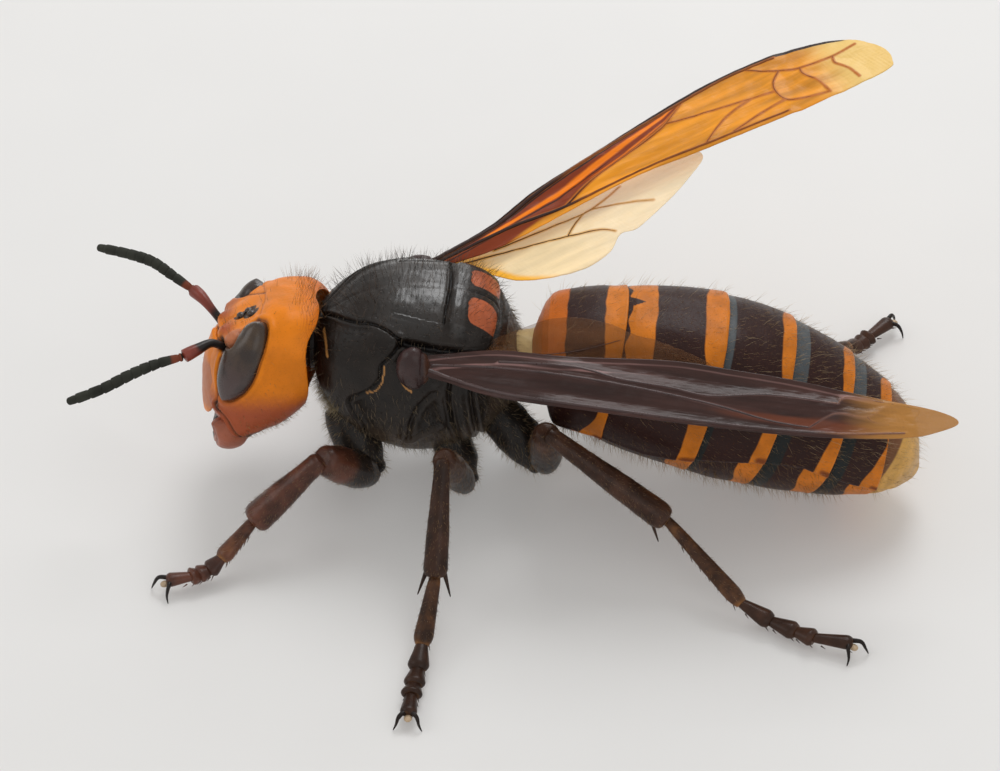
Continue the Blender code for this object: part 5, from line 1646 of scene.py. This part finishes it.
class HORNET_OT_wings(bpy.types.Operator):
    """Model the four wings with their veins"""

    bl_idname = "hornet.wings"
    bl_label = "Wings"

    def execute(self, context):
        # Each layer: mark, colour, and the values of the mark where it starts and where it is full
        near_film = wing_material(
            "near_wing_membrane", (0.048, 0.019, 0.015), (
                ("red", (0.15, 0.040, 0.018), 0.35, 0.8),
                # Painted highlight: pinkish streaks along the folds and beside the veins.
                ("ridge", (0.24, 0.13, 0.12), 0.45, 1.0),
                ("tip", (0.52, 0.24, 0.055), 0.2, 0.9),
            ), alpha=0.98, contrast=0.4,
        )
        far_film = wing_material(
            "far_wing_membrane", colour("amber"), (
                ("pale", (0.76, 0.52, 0.17), 0.25, 0.9),
                ("smoke", (0.20, 0.030, 0.005), 0.3, 0.8),
                ("blaze", (0.82, 0.20, 0.004), 0.3, 0.9),
                ("streak", (0.022, 0.009, 0.007), 0.4, 0.7),
                ("vein", (0.45, 0.13, 0.010), 0.5, 1.0),
            # Painted light: the far wing glows with its own colour, as though lit through.
            ), alpha=0.97, rough=0.35, glow=0.2,
        )
        veil_film = wing_material(
            "near_hindwing_membrane", (0.20, 0.085, 0.03), (
                ("vein", (0.12, 0.05, 0.02), 0.4, 0.9),
            ), alpha=0.26,
        )
        pale_film = wing_material(
            "far_hindwing_membrane", (0.80, 0.64, 0.38), (
                ("amber", (0.84, 0.42, 0.02), 0.3, 0.9),
                ("vein", (0.62, 0.32, 0.06), 0.5, 1.0),
            # Painted light: the far hindwing glows with its own colour, as though lit through.
            ), alpha=0.88, rough=0.35, glow=0.28, contrast=0.12,
        )
        dark_vein = shell("dark_vein", (0.055, 0.026, 0.024), (("tip", (0.22, 0.085, 0.035)),))
        brown_vein = shell("brown_vein", (0.26, 0.075, 0.012), (("root", (0.035, 0.013, 0.009)),))
        for name, film, vein, slot in (
            ("forewing_left", near_film, dark_vein, "smoky_membrane"),
            ("forewing_right", far_film, brown_vein, "amber_membrane"),
            ("hindwing_left", veil_film, dark_vein, "amber_membrane"),
            ("hindwing_right", pale_film, brown_vein, "amber_membrane"),
        ):
            blade = membrane(name)
            self.mark(name, blade)
            parts = [blade, *vein_tubes(name)]
            show(name.replace("wing", "wing_blade"), parts, [film, vein], slot, (name,))
        return {"FINISHED"}

    def mark(self, name, blade):
        a, c = blade.marks["along"], blade.marks["across"]
        low, high = (np.interp(a, *edge.T) for edge in wing_edges(OUTLINES[name]))
        blade.marked(clear=0.0)
        if name == "forewing_left":
            blade.marked(
                tip=ease(a, 22.0, 31.5), clear=0.35 * ease(a, 25.0, 31.0),
                red=0.6 * hump(c - 1.6, 0.4) * ease(a, 12, 20) + 0.35 * ease(a, 17, 25),
                # The ridge mark places that painted highlight on the fold lines and beside the veins.
                ridge=0.75 * hump(c - low - 0.35, 0.12) + 0.7 * blade.marks["vein"]
                + 0.6 * hump(c - low - 1.0, 0.1) * ease(18 - a, 0, 3),
            )
        elif name == "forewing_right":
            smoke_edge = np.interp(a, *np.array(SMOKE_EDGE).T)
            share = (c - low) / np.maximum(smoke_edge - low, 0.2)
            edge = np.interp(a, (0, 15, 24, 31), (0.55, 0.5, 0.3, 0.14))
            blaze = hump(share - 0.5, 0.13) + 0.7 * hump(share - 0.85, 0.08) * ease(a, 9, 12)
            blade.marked(
                smoke=ease(smoke_edge - c, -0.35, 0.35) * ease(22.0 - a, 0, 4) + 0.8 * ease(7.0 - a, 0, 4),
                blaze=blaze * ease(20.5 - a, 0, 4) * ease(a, 1, 4),
                streak=1.2 * ease(low + edge - c, -0.12, 0.12) * ease(31.5 - a, 0, 3)
                + 0.7 * hump(share - 0.68, 0.06) * ease(16.0 - a, 0, 5),
                pale=ease(a, 24.0, 31.5), clear=0.1 * ease(a, 10, 26),
            )
        elif name == "hindwing_right":
            blade.marked(
                amber=0.8 * ease(6.0 - a, 0, 6) + 0.7 * ease(c - high, -0.9, 0.0) * ease(8.0 - a, 0, 4),
                clear=0.55 * ease(a, 4.0, 12.0),
            )


# Studio

# Lamps: (name, place in metres, size, share of the key light's power, colour)
COOL, WARM = (0.98, 0.99, 1.0), (1.0, 0.99, 0.98)
LAMPS = (
    ("key", (-0.17, 0.03, 0.27), 0.16, 1.0, COOL),
    ("rim", (-0.35, 0.03, 0.19), 0.14, 0.4, COOL),
    ("side", (0.05, -0.45, 0.35), 0.3, 0.9, COOL),
    ("front", (0.45, 0.2, 0.35), 0.4, 0.7, WARM),
)
LAMPS_TO, FLOOR_REACH = (0.0, 0.0, 0.006), 1.6


def put(context, name, data, place, target):
    """A lamp or camera at a place in metres, turned to its target."""
    made = bpy.data.objects.new(name, data)
    made.location = place
    made.rotation_euler = (Vector(target) - Vector(place)).to_track_quat("-Z", "Y").to_euler()
    context.scene.collection.objects.link(made)
    return made


class HORNET_OT_studio(bpy.types.Operator):
    """Set the floor, the lights and the camera"""

    bl_idname = "hornet.studio"
    bl_label = "Studio"

    def execute(self, context):
        settings = context.scene.hornet_studio
        bm = bmesh.new()
        bmesh.ops.create_grid(bm, x_segments=8, y_segments=8, size=FLOOR_REACH)
        mesh = bpy.data.meshes.new("floor")
        bm.to_mesh(mesh)
        bm.free()
        floor = bpy.data.objects.new("floor", mesh)
        context.scene.collection.objects.link(floor)
        paint = Paint("pale_floor")
        grain = paint.noise(30.0, 3)
        base = tuple(settings.floor)
        tone = paint.mix(grain.between(0.3, 0.7), shade(base, 0.985), shade(base, 1.01))
        paint.set(Base_Color=tone, Emission_Color=base, Roughness=paint.noise(5.0) * 0.1 + 0.6)
        paint.set(Emission_Strength=settings.glow / base[0])
        mesh.materials.append(paint.material)
        for name, place, size, share, tint in LAMPS:
            data = bpy.data.lights.new(name, "AREA")
            data.shape, data.size, data.energy, data.color = "DISK", size, settings.key * share, tint
            put(context, name, data, place, LAMPS_TO)
        world = bpy.data.worlds.new("studio")
        world.use_nodes = True
        background = world.node_tree.nodes["Background"].inputs
        background["Color"].default_value = (1.0, 0.985, 0.965, 1)
        background["Strength"].default_value = settings.fill
        context.scene.world = world
        data = bpy.data.cameras.new("camera")
        data.sensor_fit, data.sensor_width, data.lens = "HORIZONTAL", 36, CAMERA_LENS
        data.clip_start, data.clip_end = 0.01, 20
        ends = ((np.array(point) + FRAME_SHIFT) * MM for point in (CAMERA_FROM, CAMERA_TO))
        context.scene.camera = put(context, "camera", data, *ends)
        context.scene.view_settings.view_transform = "Standard"
        return {"FINISHED"}


class HORNET_PT_panel(bpy.types.Panel):
    """Lists the hornet's settings and pieces"""

    bl_label = "Giant hornet"
    bl_space_type = "VIEW_3D"
    bl_region_type = "UI"
    bl_category = "Hornet"

    def draw(self, context):
        scene = context.scene
        for settings in (scene.hornet_colours, scene.hornet_coat, scene.hornet_studio):
            box = self.layout.box()
            for name in settings.__annotations__:
                box.prop(settings, name)
        for operator in OPERATORS:
            self.layout.operator(operator.bl_idname)


OPERATORS = (
    HORNET_OT_head, HORNET_OT_feelers, HORNET_OT_thorax, HORNET_OT_abdomen, HORNET_OT_legs, HORNET_OT_wings,
    HORNET_OT_studio,
)
GROUPS = (HornetColours, HornetCoat, HornetStudio)


def register():
    for cls in (*GROUPS, *OPERATORS, HORNET_PT_panel):
        bpy.utils.register_class(cls)
    bpy.types.Scene.hornet_colours = PointerProperty(type=HornetColours)
    bpy.types.Scene.hornet_coat = PointerProperty(type=HornetCoat)
    bpy.types.Scene.hornet_studio = PointerProperty(type=HornetStudio)


def unregister():
    for name in ("hornet_studio", "hornet_coat", "hornet_colours"):
        delattr(bpy.types.Scene, name)
    for cls in reversed((*GROUPS, *OPERATORS, HORNET_PT_panel)):
        bpy.utils.unregister_class(cls)


def main():
    register()
    for operator in OPERATORS:
        name = operator.bl_idname.split(".")[1]
        getattr(bpy.ops.hornet, name)()


if __name__ == "__main__":
    main()
